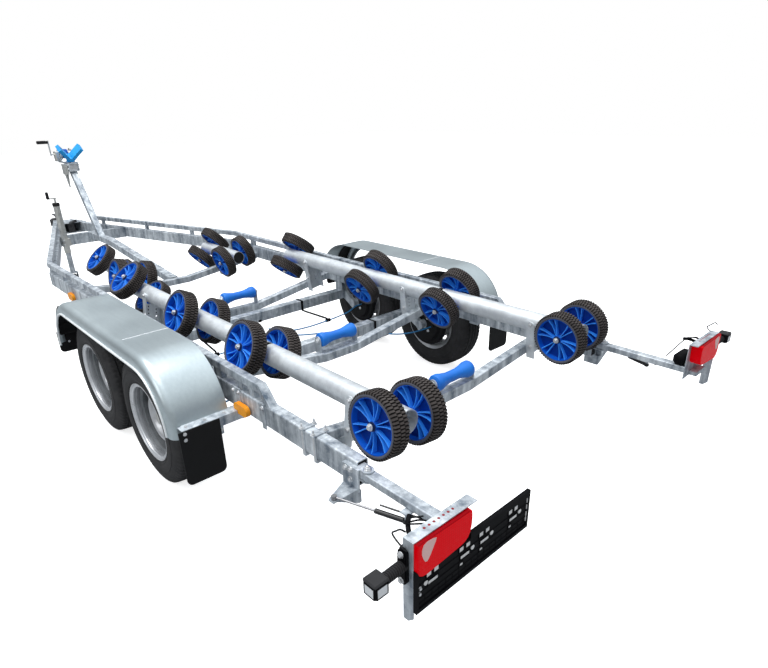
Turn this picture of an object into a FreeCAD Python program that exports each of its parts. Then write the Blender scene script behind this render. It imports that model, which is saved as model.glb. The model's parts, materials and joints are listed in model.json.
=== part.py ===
import FreeCAD, Part
import math
import os

V = FreeCAD.Vector

# Tandem-axle boat trailer with hull rollers. Millimetres. X runs forward, Y to the left, Z up from the ground.
# All places along X are measured from the middle between the two axles; the finished pieces are then moved
# so that the middle of the whole length lies at X = 0.

# Gap between pieces that are seated on each other
SEAT_GAP = 0.3
# How far a cutter runs past what it cuts
CUT_PAST = 1.0

# Running gear
TYRE_RADIUS = 325.0
TYRE_WIDTH = 188.0
TYRE_GAP = 62.0
AXLE_SPACING = 2 * TYRE_RADIUS + TYRE_GAP
WHEEL_Y = 993.0
RIM_FLANGE_RADIUS = 197.0
RIM_SEAT_RADIUS = RIM_FLANGE_RADIUS - 12.0
HUB_RADIUS = 33.0
VENT_COUNT = 8
VENT_CIRCLE = 139.0
VENT_LENGTH = 44.0
VENT_WIDTH = 24.0
STUB_RADIUS = 20.0
STUB_END_Y = WHEEL_Y + 18.0
AXLE_TUBE = 65.0
AXLE_TUBE_AHEAD = 114.0
AXLE_TUBE_Z = 383.0
AXLE_ARM_Y = 800.0
AXLE_ARM_THICK = 28.0
AXLE_ARM_HALF = 30.0
BACKPLATE_RADIUS = 118.0
BACKPLATE_Y = (845.0, 885.0)
AXLE_FOOT_WIDTH = 44.0
AXLE_FOOT_PROUD = 6.0
AXLE_FOOT_LAP = 4.0
# Where the trailing arm wraps the axle tube: past its front, short of its back, past its top and bottom
AXLE_ARM_WRAP = (7.0, 12.0, 5.0)
# Cross section of a tyre: distance in from the side wall, and height above the bead or depth below the tread
TYRE_WALL = ((29.0, 0.0), (12.0, 18.0), (3.0, 40.0), (0.0, 66.0), (5.0, 98.0))
TYRE_SHOULDER = ((20.0, 13.0), (34.0, 3.0), (50.0, 0.0))
# Edge of the rim: distances in from the tyre's side wall of the flange's end, its root and the bead seat
RIM_EDGE = (8.0, 16.0, 22.0)
RIM_WALL = 8.0
# Wheel disc: distance outwards from the wheel's middle, and radius, inner face then outer face
DISC_INSIDE = ((-26.0, 118.0), (-4.0, 96.0), (0.0, 84.0))
DISC_OUTSIDE = ((8.0, 84.0), (4.0, 100.0), (-18.0, 122.0))
# Place of the disc's rim along the axle, inner face then outer face, and its depth below the rim's inside
DISC_SEAT = (-30.0, -22.0)
DISC_SEAT_DEPTH = 2.0
RIM_LIP_BACK = 2.0
HUB_DRUM_RADIUS = 63.0
HUB_DRUM = (-34.0, -10.0)
HUB_PAD_RADIUS = 61.0
HUB_CAP_END = 30.0
HUB_CAP_BEVEL = (4.0, 8.0)

# Side beams and drawbar
BEAM_OUTER_Y = 820.0
BEAM_WIDTH = 50.0
BEAM_HEIGHT = 100.0
BEAM_TOP = 575.0
BEAM_WALL = 4.0
BEAM_EDGE = 8.0
BEAM_REAR_X = -1620.0
BEND_X = 2050.0
NOSE_X = 4570.0
NOSE_GAP = 34.0
FRONT_CROSSBEAM_X = 3600.0
FRONT_CROSSBEAM_WIDTH = 60.0
SPINE_RISE_END_X = 3050.0
SPINE_WIDTH = 70.0
SPINE_HEIGHT = 60.0
NOSE_PLATE_LENGTH = 260.0
NOSE_PLATE_THICK = 8.0

# Upper rails
RAIL_SIZE = 40.0
RAIL_WALL = 3.0
RAIL_EDGE = 5.0
RAIL_TOP = 657.0
RAIL_REAR_X = -1000.0
RAIL_FRONT_X = 4110.0
RAIL_STRUT_RUN = 78.0
# Rear and front end of each block between a side beam and its upper rail
SPACERS = ((-947.0, -907.0), (-849.0, -807.0), (-665.0, -598.0), (-531.0, -470.0), (-397.0, -350.0),
           (120.0, 170.0), (900.0, 950.0), (1700.0, 1750.0), (2600.0, 2640.0), (3250.0, 3290.0),
           (3950.0, 3990.0))
SPACER_HALF_WIDTH = RAIL_SIZE / 3

# Cross tubes: place, height of the top at the middle, height of the top at the beams
CROSS_TUBE = 50.0
CROSS_WALL = 4.0
CROSS_EDGE = 6.0
CROSS_FLAT = 110.0
CROSS_FORE = (1665.0, 437.0, 520.0)
CROSS_FRONT = (620.0, 424.0, 528.0)
CROSS_MID = (-500.0, 440.0, 536.0)
CROSS_REAR = (-1340.0, 476.0, 560.0)

# Hull rollers
ROLLER_RADIUS = 127.0
ROLLER_WIDTH = 76.0
ROLLER_LIP_RADIUS = 106.0
ROLLER_HUB_RADIUS = 99.0
ROLLER_BOSS_RADIUS = 25.0
ROLLER_OFFSET = 98.0
ROLLER_DISH = 26.0
ROLLER_RIBS = 8
ROLLER_RIB_THICK = 7.0
ROLLER_RIB_BELOW = 10.0
ROLLER_SHOULDER = 14.0
ROLLER_TREAD_DROP = 6.0
ROLLER_TREAD_IN = 4.0
ROLLER_LIP_STEP = 3.0
ROLLER_BOSS_IN = 6.0
ROLLER_DRAFT = (5.0, 4.0)
ROLLER_PIN_RADIUS = 10.0
ROLLER_PIN_REACH = 150.0
PIN_CLEARANCE = 0.08
RAIL_TUBE_RADIUS = 50.0
RAIL_TUBE_WALL = 4.0
HULL_RAIL_Y = 600.0
HULL_RAIL_Z = 655.0
REAR_TUBE = (-1650.0, -754.0)
LONG_TUBE_START = -720.0
TUBE_PAST_PIN = 42.0
FORE_RAIL_Y = 425.0
FORE_RAIL_Z = 585.0
FORE_TUBE = (1335.0, 1905.0)
# Place along X and tilt of each twin roller, outer end up, from the back to the front; the sides are set apart
HULL_ROLLERS = {"left": ((-1597.0, 6.0), (-689.0, 23.5), (-19.0, 26.0), (761.0, 49.5)),
                "right": ((-1586.0, 4.0), (-793.0, 23.5), (-106.0, 29.5), (808.0, 51.5))}
FORE_ROLLERS = {"left": ((1385.0, 14.5), (1816.0, 46.0)), "right": ((1419.0, 16.5), (1859.0, 42.0))}
POST_WIDTH = 112.0
POST_DEPTH = 45.0
POST_THICK = 6.5
POST_BELOW = 20.0
POST_EAR_TOP = 22.0
POST_WEB_DROP = 4.0
POST_HOLE_DROP = 16.0
POST_HOLE_RADIUS = 5.0
POST_HOLE_SIDE = 24.0
POST_HOLE_PITCH = 22.0
POST_HOLE_ROWS = 5

# Keel rollers
# Place along X and height of each keel roller, from the front to the back
KEEL_ROLLERS = ((620.0, 510.0), (-476.0, 510.0), (-1340.0, 536.0))
KEEL_HALF_LENGTH = 125.0
KEEL_END_RADIUS = 40.0
KEEL_WAIST_RADIUS = 27.0
KEEL_EAR_THICK = 6.0
KEEL_EAR_GAP = 3.0
KEEL_EAR_HALF = 24.0
KEEL_BASE_THICK = 8.0
KEEL_PIN_RADIUS = 9.0
KEEL_PIN_PROUD = 8.0
KEEL_SEAT_SINK = 6.0
# Share of a keel roller's half length where its end and its waist are straight
KEEL_END_SHARE = 0.72
KEEL_WAIST_SHARE = 0.3

# Mudguards
GUARD_CLEARANCE = 119.0
GUARD_HALF_LENGTH = AXLE_SPACING / 2 + TYRE_RADIUS + GUARD_CLEARANCE
GUARD_OVER_TYRE = 85.0
GUARD_TOP = 2 * TYRE_RADIUS + GUARD_OVER_TYRE
GUARD_BOTTOM = 430.0
GUARD_CORNER = 300.0
GUARD_INNER_Y = 868.0
GUARD_OUTER_Y = 1130.0
GUARD_SHEET = 3.0
GUARD_SHOULDER = 40.0
GUARD_SKIRT = 62.0
GUARD_LIP = 10.0
GUARD_LIP_PROUD = 4.0
BRACKET_SIZE = 45.0
BRACKET_THICK = 4.0
BRACKET_TOP = 490.0
BRACKET_LAP = 14.0
BRACKET_LAP_SHORT = 1.0
GUARD_SHEET_BOTTOM = BRACKET_TOP + SEAT_GAP
BRACKET_END_Y = 1104.0
BRACKET_PLATE = (66.0, 145.0)
BRACKET_PLATE_THICK = 6.0
BRACKET_PLATE_BOTTOM = 440.0
BRACKET_PLATE_PAST = 9.0
FLAP_STRAP_WIDTH = 14.0
FLAP_STRAP_GAP = 1.0
FLAP_THICK = 6.0
FLAP_Y = (938.0, 1122.0)
FLAP_Z = (229.0, 488.0)
FLAP_CORNER = 26.0
FRONT_FLAP_Z = (352.0, 486.0)
FLAP_STRAP_BOTTOM = 408.0
SIDE_MARKER_LENGTH = 108.0
SIDE_MARKER_HEIGHT = 50.0
SIDE_MARKER_DEPTH = 21.0
FRONT_MARKER_X = 1516.0
REAR_MARKER_AHEAD = -66.0
MARKER_Z = 500.0
MARKER_ROOM = 2.0

# Coupling
COUPLING_Z = 525.0
COUPLING_NOSE_X = 5000.0
HOUSING_LENGTH = 250.0
HOUSING_PROUD = 10.0
COLLAR_RADIUS = 44.0
COLLAR_LENGTH = 24.0
COUPLING_SHAFT_RADIUS = 24.0
SHAFT_BEHIND_BALL = 90.0
BELLOWS_START = 20.0
BELLOWS_LEAD = 12.0
BELLOWS_PITCH = 18.0
BELLOWS_FOLDS = 5
BELLOWS_COLLAR = 36.0
BELLOWS_VALLEY = 28.0
BELLOWS_PEAK = 40.0
# Side view of the coupling head, from the middle of the ball
HEAD_SIDE_VIEW = ((-140.0, -30.0), (-40.0, -45.0), (0.0, -45.0), (0.0, 35.0), (-60.0, 38.0), (-140.0, 30.0))
HEAD_HALF_WIDTH = 38.0
SOCKET_RADIUS = 60.0
SOCKET_BOTTOM = -45.0
SOCKET_TOP = 20.0
DOME_RADIUS = 40.0
DOME_HEIGHT = 18.0
BALL_RADIUS = 26.0
BALL_TOP = 5.0
# Line of the handle over the head, from the middle of the ball
HANDLE_LINE = ((-118.0, 20.0), (-92.0, 66.0), (-40.0, 82.0), (40.0, 78.0))
HANDLE_THICK = 14.0
HANDLE_HALF_WIDTH = 15.0
# Line of the hand-brake lever, from the nose of the beams, and its knob
LEVER_LINE = ((-236.0, 8.0), (-274.0, 34.0), (-300.0, 64.0), (-430.0, 90.0))
LEVER_HEIGHT = 22.0
LEVER_Y = (12.0, 24.0)
KNOB_LINE = ((-426.0, 89.0), (-520.0, 108.0))
KNOB_RADIUS = 15.0

# Winch post and winch
POST_SIZE = 60.0
POST_WALL = 4.0
POST_EDGE = 7.0
POST_FOOT = (3330.0, 560.0)
POST_HEAD = (3770.0, 1165.0)
CLAMP_LENGTH = 132.0
CLAMP_WIDTH = 96.0
CLAMP_HEIGHT = 78.0
CLAMP_THICK = 8.0
TAB_THICK = 8.0
# Side view of the stay below the clamp: places from the post's head, heights from the clamp's underside
TAB_TOP = (42.0, 66.0)
TAB_SINK = 5.0
TAB_POINTS = ((60.0, -60.0), (44.0, -104.0))
WINCH_BASE_BACK = 30.0
WINCH_BASE_FRONT = 66.0
WINCH_BASE_THICK = 5.0
WINCH_PLATE_Y = 60.0
WINCH_PLATE_THICK = 5.0
# Winch side plate: half length low down, half length on top, and heights of its shoulder and top over the shaft
WINCH_PLATE_HALF = (62.0, 34.0)
WINCH_PLATE_RISE = (10.0, 44.0)
DRUM_X = 3905.0
DRUM_Z = 1325.0
DRUM_RADIUS = 30.0
FLANGE_RADIUS = 52.0
FLANGE_THICK = 4.0
GEAR_THICK = 12.0
DRUM_GAP = 5.0
SHAFT_RADIUS = 9.0
SHAFT_Y = (-70.0, 140.0)
CRANK_REACH = 118.0
CRANK_Y = (128.0, 136.0)
CRANK_HALF_WIDTH = 10.0
CRANK_ENDS = (12.0, 13.0)
CRANK_GRIP_Y = 131.0
# Half section of the crank's grip: distance along it, and radius
CRANK_GRIP = ((0.0, 0.0), (0.0, 11.0), (12.0, 14.0), (84.0, 12.0), (100.0, 14.0), (104.0, 9.0), (104.0, 0.0))
# The V of the bow stop: its lowest point, the lean of its plane and the line of one arm
STOP_APEX = V(3780, 0, 1283)
STOP_LEAN = -33.5
STOP_LINE = ((16.0, 10.0), (70.0, 84.0), (104.0, 127.0))
STOP_WIDTH = 90.0
STOP_THICK = 34.0
STOP_FOOT = 50.0
STOP_DROP = 60.0

# Jack
JACK_X = 3500.0
JACK_Y = 300.0
JACK_SLEEVE_RADIUS = 30.0
JACK_LEG_RADIUS = 24.0
JACK_TOP = 905.0
JACK_SLEEVE_BOTTOM = 420.0
JACK_LEG_TOP = 700.0
JACK_CAP = 12.0
JACK_SCREW_RADIUS = 9.0
JACK_SCREW_TOP = 46.0
JACK_CRANK_Z = (40.0, 50.0)
JACK_CRANK_Y = (-12.0, 68.0)
JACK_CRANK_HALF_WIDTH = 10.0
JACK_GRIP_Y = 58.0
JACK_GRIP_Z = (45.0, 108.0)
JACK_GRIP_RADIUS = 12.0
JACK_CLAMP_BACK = 40.0
JACK_CLAMP_Y = (-42.0, 12.0)
JACK_CLAMP_Z = (490.0, 560.0)
JACK_WHEEL_RADIUS = 100.0
JACK_WHEEL_WIDTH = 56.0
JACK_WHEEL_FLAT = 70.0
JACK_WHEEL_EDGE = 8.0
JACK_AXLE_RADIUS = 8.0
JACK_AXLE_REACH = 46.0
# Fork of the jack's wheel: heights of its crown over the axle, half sizes of the crown and the ears
JACK_CROWN_Z = (112.0, 122.0)
JACK_CROWN_HALF = (26.0, 40.0)
JACK_EAR_HALF = 22.0
JACK_EAR_THICK = 6.0
JACK_EAR_Z = (-20.0, 114.0)

# Lamp arms
ARM_WIDTH = 43.0
ARM_HEIGHT = 30.0
ARM_WALL = 3.0
ARM_EDGE = 5.0
ARM_Y = 808.0
ARM_TOP = 555.0
ARM_PIVOT_X = -1662.0
ARM_ROOT = 25.0
ARM_PIN_RADIUS = 8.0
EAR_THICK = 6.0
EAR_GAP = 1.0
EAR_REACH = 23.0
HINGE_PLATE_Y = (831.5, 837.5)
HINGE_PLATE_X = (-1645.0, -1560.0)
HINGE_PLATE_Z = (470.0, 560.0)
ARM_PIN_PROUD = 14.0
LUG_HALF = 14.0
LUG_GAP = 1.0
LUG_THICK = 5.0
LUG_WEB_THICK = 4.0
LUG_WEB_DROP = 60.0
LAMP_FACE_X = -2109.0
LAMP_PLATE_TOP = 667.0
LAMP_PLATE_BOTTOM = 494.0
LAMP_PLATE_OUTER_Y = 1044.0
LAMP_PLATE_INNER_Y = 786.0
LAMP_PLATE_DEPTH = 38.0
LAMP_PLATE_THICK = 3.0
SIDE_PLATE_BOTTOM = 384.0
LAMP_PROUD = 12.0
# Corners of the left lamp's rear view, inwards from its outer edge or outwards from its inner edge, and downwards
LAMP_INNER_GAP = 30.0
LAMP_TOP_FALL = 4.0
LAMP_INNER_CORNER = (12.0, 101.0)
LAMP_LOWER_CORNERS = ((32.0, 117.0), (10.0, 108.0))
LAMP_OUTER_DROP = 77.0
# Bar that carries the lamp, below the arm: distances outwards from the arm, and heights over the plate's edge
CARRIER_Y = (42.0, 142.0)
CARRIER_Z = (4.0, 24.0)
HOLDER_LENGTH = 515.0
HOLDER_HEIGHT = 145.0
HOLDER_BOTTOM = 430.0
HOLDER_THICK = 12.5
HOLDER_LAMP_GAP = 4.0
HOLDER_TRAY_DEPTH = 4.0
HOLDER_TRAY_EDGES = (9.0, 12.0, 22.0)
STRUT_Z = 490.0
# Strut's lug and stud, from the arm's pivot
STRUT_LUG = (39.0, 120.0)
STRUT_PIN = (-218.0, 34.0)
STRUT_BODY_RADIUS = 9.0
STRUT_ROD_RADIUS = 4.0
STRUT_STUD_RADIUS = 5.0
STUD_BELOW = 10.0
STRUT_BODY = (8.0, 112.0)
STRUT_BORE_START = 18.0
STRUT_ROD_START = 94.0
STRUT_ROD_SHORT = 6.0
STRUT_EYE = (11.0, 12.0)
STRUT_ROD_EYE = (10.0, 15.0)
STRUT_ROD_EYE_BELOW = 9.0
STRUT_TAB = (16.0, 10.0, 12.0)
STRUT_TAB_THICK = 5.0

# Outrigger marker lamps
MARKER_MOUNT = (32.0, 118.0)
MARKER_MOUNT_Z = 578.0
MARKER_HEAD = 50.0
MARKER_HEAD_Y = 1190.0
MARKER_HEAD_Z = 607.0
MARKER_REAR_X = LAMP_FACE_X - 16.0
MARKER_MOUNT_AHEAD = 12.0
MARKER_MOUNT_THICK = 14.0
MARKER_CHAMFER = 6.0
STALK_RADIUS = 12.0
STALK_COLLAR = 3.0
STALK_START = (8.0, 4.0)
STALK_RIBS = 6
STALK_RIB = 2.0
STALK_GROOVE = 1.0
STALK_LAP = 6.0
MIDDLE_X = (COUPLING_NOSE_X + MARKER_REAR_X) / 2

# Brake cables: height and distance along X of the ends from each axle, and the runs from there to the spine
CABLE_RADIUS = 4.5
CABLE_START = (-84.0, 844.7)
# Share of the shorter run that each bend takes up
CABLE_BEND_SHARE = 0.45
CABLE_RUNS = {
    "front": (V(-84, 770, 328), V(-140, 655, 322), V(-160, 558, 322), V(-180, 455, 324), V(-192, 350, 326),
              V(-204, 245, 330), V(-198, 140, 334), V(-142, 66, 334), V(-36, 34, 332)),
    "rear": (V(-84, 760, 326), V(-69, 660, 325), V(-19, 575, 324), V(66, 520, 326), V(156, 465, 328),
             V(244, 400, 330), V(306, 310, 332), V(351, 205, 334), V(406, 110, 335), V(486, 45, 335),
             V(592, 14, 334)),
}

BEAM_Y = BEAM_OUTER_Y - BEAM_WIDTH / 2
BEAM_BOTTOM = BEAM_TOP - BEAM_HEIGHT
NOSE_Y = NOSE_GAP + BEAM_WIDTH / 2
BEAM_SLOPE = (NOSE_Y - BEAM_Y) / (NOSE_X - BEND_X)
RAIL_BOTTOM = RAIL_TOP - RAIL_SIZE
RAIL_Y = BEAM_OUTER_Y - RAIL_SIZE / 2
AXLE_XS = {"front": AXLE_SPACING / 2, "rear": -AXLE_SPACING / 2}
REAR_MARKER_X = -GUARD_HALF_LENGTH + REAR_MARKER_AHEAD


def beam_y(x, start=BEAM_Y):
    """Distance of a side beam's middle from the centre plane."""
    return start if x <= BEND_X else start + BEAM_SLOPE * (x - BEND_X)


def block(x0, x1, y0, y1, z0, z1):
    return Part.makeBox(x1 - x0, y1 - y0, z1 - z0, V(x0, y0, z0))


def rod(start, end, radius):
    along = end - start
    return Part.makeCylinder(radius, along.Length, start, along)


def pipe(start, end, radius, wall):
    return rod(start, end, radius).cut(rod(start, end, radius - wall))


def place(plane, u, v, w):
    return {"xy": V(u, v, w), "xz": V(u, w, v), "yz": V(w, u, v)}[plane]


def prism(plane, points, low, high):
    """Closed outline in a plane, made solid from low to high across it."""
    corners = [place(plane, u, v, low) for u, v in points]
    face = Part.Face(Part.makePolygon(corners + corners[:1]))
    return face.extrude(place(plane, 0, 0, high - low))


def offset(points, distance):
    """Open line moved to its left by a distance, with mitred corners."""
    moved = []
    for i, (u, v) in enumerate(points):
        ahead = points[min(i + 1, len(points) - 1)]
        behind = points[max(i - 1, 0)]
        first = unit((u - behind[0], v - behind[1])) if i else unit((ahead[0] - u, ahead[1] - v))
        last = unit((ahead[0] - u, ahead[1] - v)) if i < len(points) - 1 else first
        scale = distance / (1 + first[0] * last[0] + first[1] * last[1])
        moved.append((u - scale * (first[1] + last[1]), v + scale * (first[0] + last[0])))
    return moved


def unit(vector):
    length = math.hypot(*vector)
    return vector[0] / length, vector[1] / length


def stretched(points, by):
    """Open line made longer at both ends."""
    first = unit((points[0][0] - points[1][0], points[0][1] - points[1][1]))
    last = unit((points[-1][0] - points[-2][0], points[-1][1] - points[-2][1]))
    start = (points[0][0] + by * first[0], points[0][1] + by * first[1])
    end = (points[-1][0] + by * last[0], points[-1][1] + by * last[1])
    return [start] + list(points[1:-1]) + [end]


def moved_by(points, u, v):
    """Points of a line or outline, measured from a place in their plane."""
    return [(u + a, v + b) for a, b in points]


def ribbon(points, width):
    return offset(points, width / 2) + offset(points, -width / 2)[::-1]


def rounded_rectangle(start, along, width, height, radius):
    """Closed outline round a point, square to a level or upright direction, width level where it can be."""
    across = V(-along.y, along.x, 0)
    if across.Length < 1e-6:
        across = V(0, 1, 0)
    across.normalize()
    up = along.cross(across).normalize()
    u, v = width / 2, height / 2
    edges = []
    last = None
    first = None
    corners = ((u, v), (-u, v), (-u, -v), (u, -v))
    for number, (a, b) in enumerate(corners):
        ahead = corners[(number + 1) % 4]
        behind = corners[number - 1]
        into = unit((a - behind[0], b - behind[1]))
        out = unit((ahead[0] - a, ahead[1] - b))
        begin = (a - radius * into[0], b - radius * into[1])
        finish = (a + radius * out[0], b + radius * out[1])
        centre = (a + radius * (out[0] - into[0]), b + radius * (out[1] - into[1]))
        diagonal = unit((into[0] - out[0], into[1] - out[1]))
        middle = (centre[0] + radius * diagonal[0], centre[1] + radius * diagonal[1])
        points = [start + across * p[0] + up * p[1] for p in (begin, middle, finish)]
        if last:
            edges.append(Part.makeLine(last, points[0]))
        first = first or points[0]
        edges.append(Part.Arc(*points).toShape())
        last = points[2]
    edges.append(Part.makeLine(last, first))
    return Part.Wire(edges)


def round_tube(path, width, height, wall, edge):
    """Rectangular tube with round edges and mitred bends along a line of points, open at both ends."""
    along = (path[1] - path[0]).normalize()
    back = (path[-2] - path[-1]).normalize()
    longer = [path[0] - along * wall] + path[1:-1] + [path[-1] - back * wall]
    right_corner = 1
    outline = rounded_rectangle(path[0], along, width, height, edge)
    outer = Part.Wire(Part.makePolygon(path)).makePipeShell([outline], True, False, right_corner)
    outline = rounded_rectangle(longer[0], along, width - 2 * wall, height - 2 * wall, edge - wall)
    inner = Part.Wire(Part.makePolygon(longer)).makePipeShell([outline], True, False, right_corner)
    return outer.cut(inner)


def mirrored(shape):
    return shape.mirror(V(0, 0, 0), V(0, 1, 0))


def both(shape):
    return Part.makeCompound([shape, mirrored(shape)])


def fused(shapes):
    return shapes[0].multiFuse(shapes[1:]).removeSplitter()


def side_beam():
    """Left side beam: straight over the wheels, then running in to the nose."""
    z = BEAM_TOP - BEAM_HEIGHT / 2
    path = [V(BEAM_REAR_X, BEAM_Y, z), V(BEND_X, BEAM_Y, z), V(NOSE_X, NOSE_Y, z)]
    return round_tube(path, BEAM_WIDTH, BEAM_HEIGHT, BEAM_WALL, BEAM_EDGE)


def upper_rail():
    """Left upper rail on its spacer blocks, with the strut that closes its rear end."""
    z = RAIL_TOP - RAIL_SIZE / 2
    path = [V(RAIL_REAR_X, RAIL_Y, z), V(BEND_X, RAIL_Y, z), V(RAIL_FRONT_X, beam_y(RAIL_FRONT_X, RAIL_Y), z)]
    rail = round_tube(path, RAIL_SIZE, RAIL_SIZE, RAIL_WALL, RAIL_EDGE)
    slope = [(RAIL_REAR_X, RAIL_TOP), (RAIL_REAR_X - RAIL_STRUT_RUN, BEAM_TOP),
             (RAIL_REAR_X - RAIL_STRUT_RUN + RAIL_SIZE, BEAM_TOP), (RAIL_REAR_X, RAIL_BOTTOM)]
    pieces = [rail, prism("xz", slope, RAIL_Y - RAIL_SIZE / 2, RAIL_Y + RAIL_SIZE / 2)]
    for rear, front in SPACERS:
        y = beam_y(rear, RAIL_Y)
        pieces.append(block(rear, front, y - SPACER_HALF_WIDTH, y + SPACER_HALF_WIDTH, BEAM_TOP, RAIL_BOTTOM))
    return fused(pieces)


def cross_tube(spec):
    """Bowed square tube between the side beams, low in the middle for the keel."""
    x, middle_top, end_top = spec
    reach = BEAM_Y - BEAM_WIDTH / 2
    drop = CROSS_TUBE / 2
    line = stretched([(-reach, end_top - drop), (-CROSS_FLAT, middle_top - drop),
                      (CROSS_FLAT, middle_top - drop), (reach, end_top - drop)], CROSS_TUBE)
    path = [V(x, y, z) for y, z in line]
    bar = round_tube(path, CROSS_TUBE, CROSS_TUBE, CROSS_WALL, CROSS_EDGE)
    return bar.common(block(x - CROSS_TUBE, x + CROSS_TUBE, -reach, reach, 0, RAIL_TOP))


def cross_slope(spec):
    """Rise of a cross tube's outer parts for each millimetre outwards."""
    return (spec[2] - spec[1]) / (BEAM_Y - BEAM_WIDTH / 2 - CROSS_FLAT)


def keel_bracket(x, z, seat):
    """Folded cradle that holds a keel roller's pin over a cross tube."""
    inner = KEEL_HALF_LENGTH + KEEL_EAR_GAP
    outer = inner + KEEL_EAR_THICK
    pieces = [block(x - KEEL_EAR_HALF, x + KEEL_EAR_HALF, -outer, outer, seat, seat + KEEL_BASE_THICK)]
    for side in (-1, 1):
        low, high = sorted((side * inner, side * outer))
        ear = block(x - KEEL_EAR_HALF, x + KEEL_EAR_HALF, low, high, seat, z)
        crown = rod(V(x, low, z), V(x, high, z), KEEL_EAR_HALF)
        pieces.append(ear.fuse(crown))
    hole = rod(V(x, -outer - 1, z), V(x, outer + 1, z), KEEL_PIN_RADIUS + PIN_CLEARANCE)
    return fused(pieces).cut(hole)


def cross_tube_with_keel(spec, roller):
    x, z = roller
    seat = spec[1] + cross_slope(spec) * (KEEL_HALF_LENGTH - CROSS_FLAT) - KEEL_SEAT_SINK
    return fused([cross_tube(spec), keel_bracket(x, z, seat)])


def drawbar():
    """Front crossbeam, the spine that runs back from it, and the nose plates."""
    side = BEAM_WIDTH / 2 / math.cos(math.atan(BEAM_SLOPE))
    back = FRONT_CROSSBEAM_X - FRONT_CROSSBEAM_WIDTH / 2
    front = FRONT_CROSSBEAM_X + FRONT_CROSSBEAM_WIDTH / 2
    half_back = beam_y(back) - side
    half_front = beam_y(front) - side
    outline = [(back, -half_back), (front, -half_front), (front, half_front), (back, half_back)]
    crossbeam = prism("xy", outline, BEAM_BOTTOM, BEAM_TOP)
    upper = BEAM_TOP - SPINE_HEIGHT / 2
    spine_path = [V(CROSS_FORE[0], 0, CROSS_FORE[1] - CROSS_TUBE / 2), V(SPINE_RISE_END_X, 0, upper),
                  V(FRONT_CROSSBEAM_X, 0, upper)]
    spine = round_tube(spine_path, SPINE_WIDTH, SPINE_HEIGHT, CROSS_WALL, CROSS_EDGE)
    start = CROSS_FORE[0] + CROSS_TUBE / 2
    spine = spine.common(block(start, back, -SPINE_WIDTH, SPINE_WIDTH, 0, RAIL_TOP))
    plates = []
    for low in (BEAM_BOTTOM - NOSE_PLATE_THICK, BEAM_TOP):
        plate_back = NOSE_X - NOSE_PLATE_LENGTH
        wide = beam_y(plate_back) + BEAM_WIDTH / 2
        tip = NOSE_Y + BEAM_WIDTH / 2
        corners = [(plate_back, -wide), (NOSE_X, -tip), (NOSE_X, tip), (plate_back, wide)]
        plates.append(prism("xy", corners, low, low + NOSE_PLATE_THICK))
    return Part.makeCompound([fused([crossbeam, spine])] + plates)


def coupling():
    """Overrun coupling on the nose: housing, bellows, shaft, ball head, handle and hand-brake lever."""
    z = COUPLING_Z
    ball_x = COUPLING_NOSE_X - SOCKET_RADIUS
    half_foot = NOSE_GAP - CUT_PAST
    foot = block(NOSE_X - HOUSING_LENGTH, NOSE_X + HOUSING_PROUD, -half_foot, half_foot, BEAM_BOTTOM, BEAM_TOP)
    collar = rod(V(NOSE_X, 0, z), V(NOSE_X + COLLAR_LENGTH, 0, z), COLLAR_RADIUS)
    shaft = rod(V(NOSE_X - HOUSING_PROUD, 0, z), V(ball_x - SHAFT_BEHIND_BALL, 0, z), COUPLING_SHAFT_RADIUS)
    folds = [(0.0, 0.0), (0.0, BELLOWS_COLLAR)]
    for number in range(BELLOWS_FOLDS):
        along = BELLOWS_LEAD + number * BELLOWS_PITCH
        folds += [(along, BELLOWS_VALLEY), (along + BELLOWS_PITCH / 2, BELLOWS_PEAK)]
    end = BELLOWS_LEAD + BELLOWS_FOLDS * BELLOWS_PITCH
    folds += [(end, BELLOWS_VALLEY), (end, 0.0)]
    bellows = revolved(folds, V(NOSE_X + BELLOWS_START, 0, z), V(1, 0, 0))
    head = prism("xz", moved_by(HEAD_SIDE_VIEW, ball_x, z), -HEAD_HALF_WIDTH, HEAD_HALF_WIDTH)
    socket = rod(V(ball_x, 0, z + SOCKET_BOTTOM), V(ball_x, 0, z + SOCKET_TOP), SOCKET_RADIUS)
    dome = Part.makeCone(SOCKET_RADIUS, DOME_RADIUS, DOME_HEIGHT, V(ball_x, 0, z + SOCKET_TOP))
    hollow = rod(V(ball_x, 0, z + SOCKET_BOTTOM - CUT_PAST), V(ball_x, 0, z + BALL_TOP), BALL_RADIUS)
    handle_view = ribbon(moved_by(HANDLE_LINE, ball_x, z), HANDLE_THICK)
    handle = prism("xz", handle_view, -HANDLE_HALF_WIDTH, HANDLE_HALF_WIDTH)
    lever = prism("xz", ribbon(moved_by(LEVER_LINE, NOSE_X, z), LEVER_HEIGHT), *LEVER_Y)
    knob_y = sum(LEVER_Y) / 2
    knob_ends = [V(x, knob_y, height) for x, height in moved_by(KNOB_LINE, NOSE_X, z)]
    knob = rod(*knob_ends, KNOB_RADIUS)
    return fused([foot, collar, shaft, bellows, head, socket, dome, handle, lever, knob]).cut(hollow)


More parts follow.
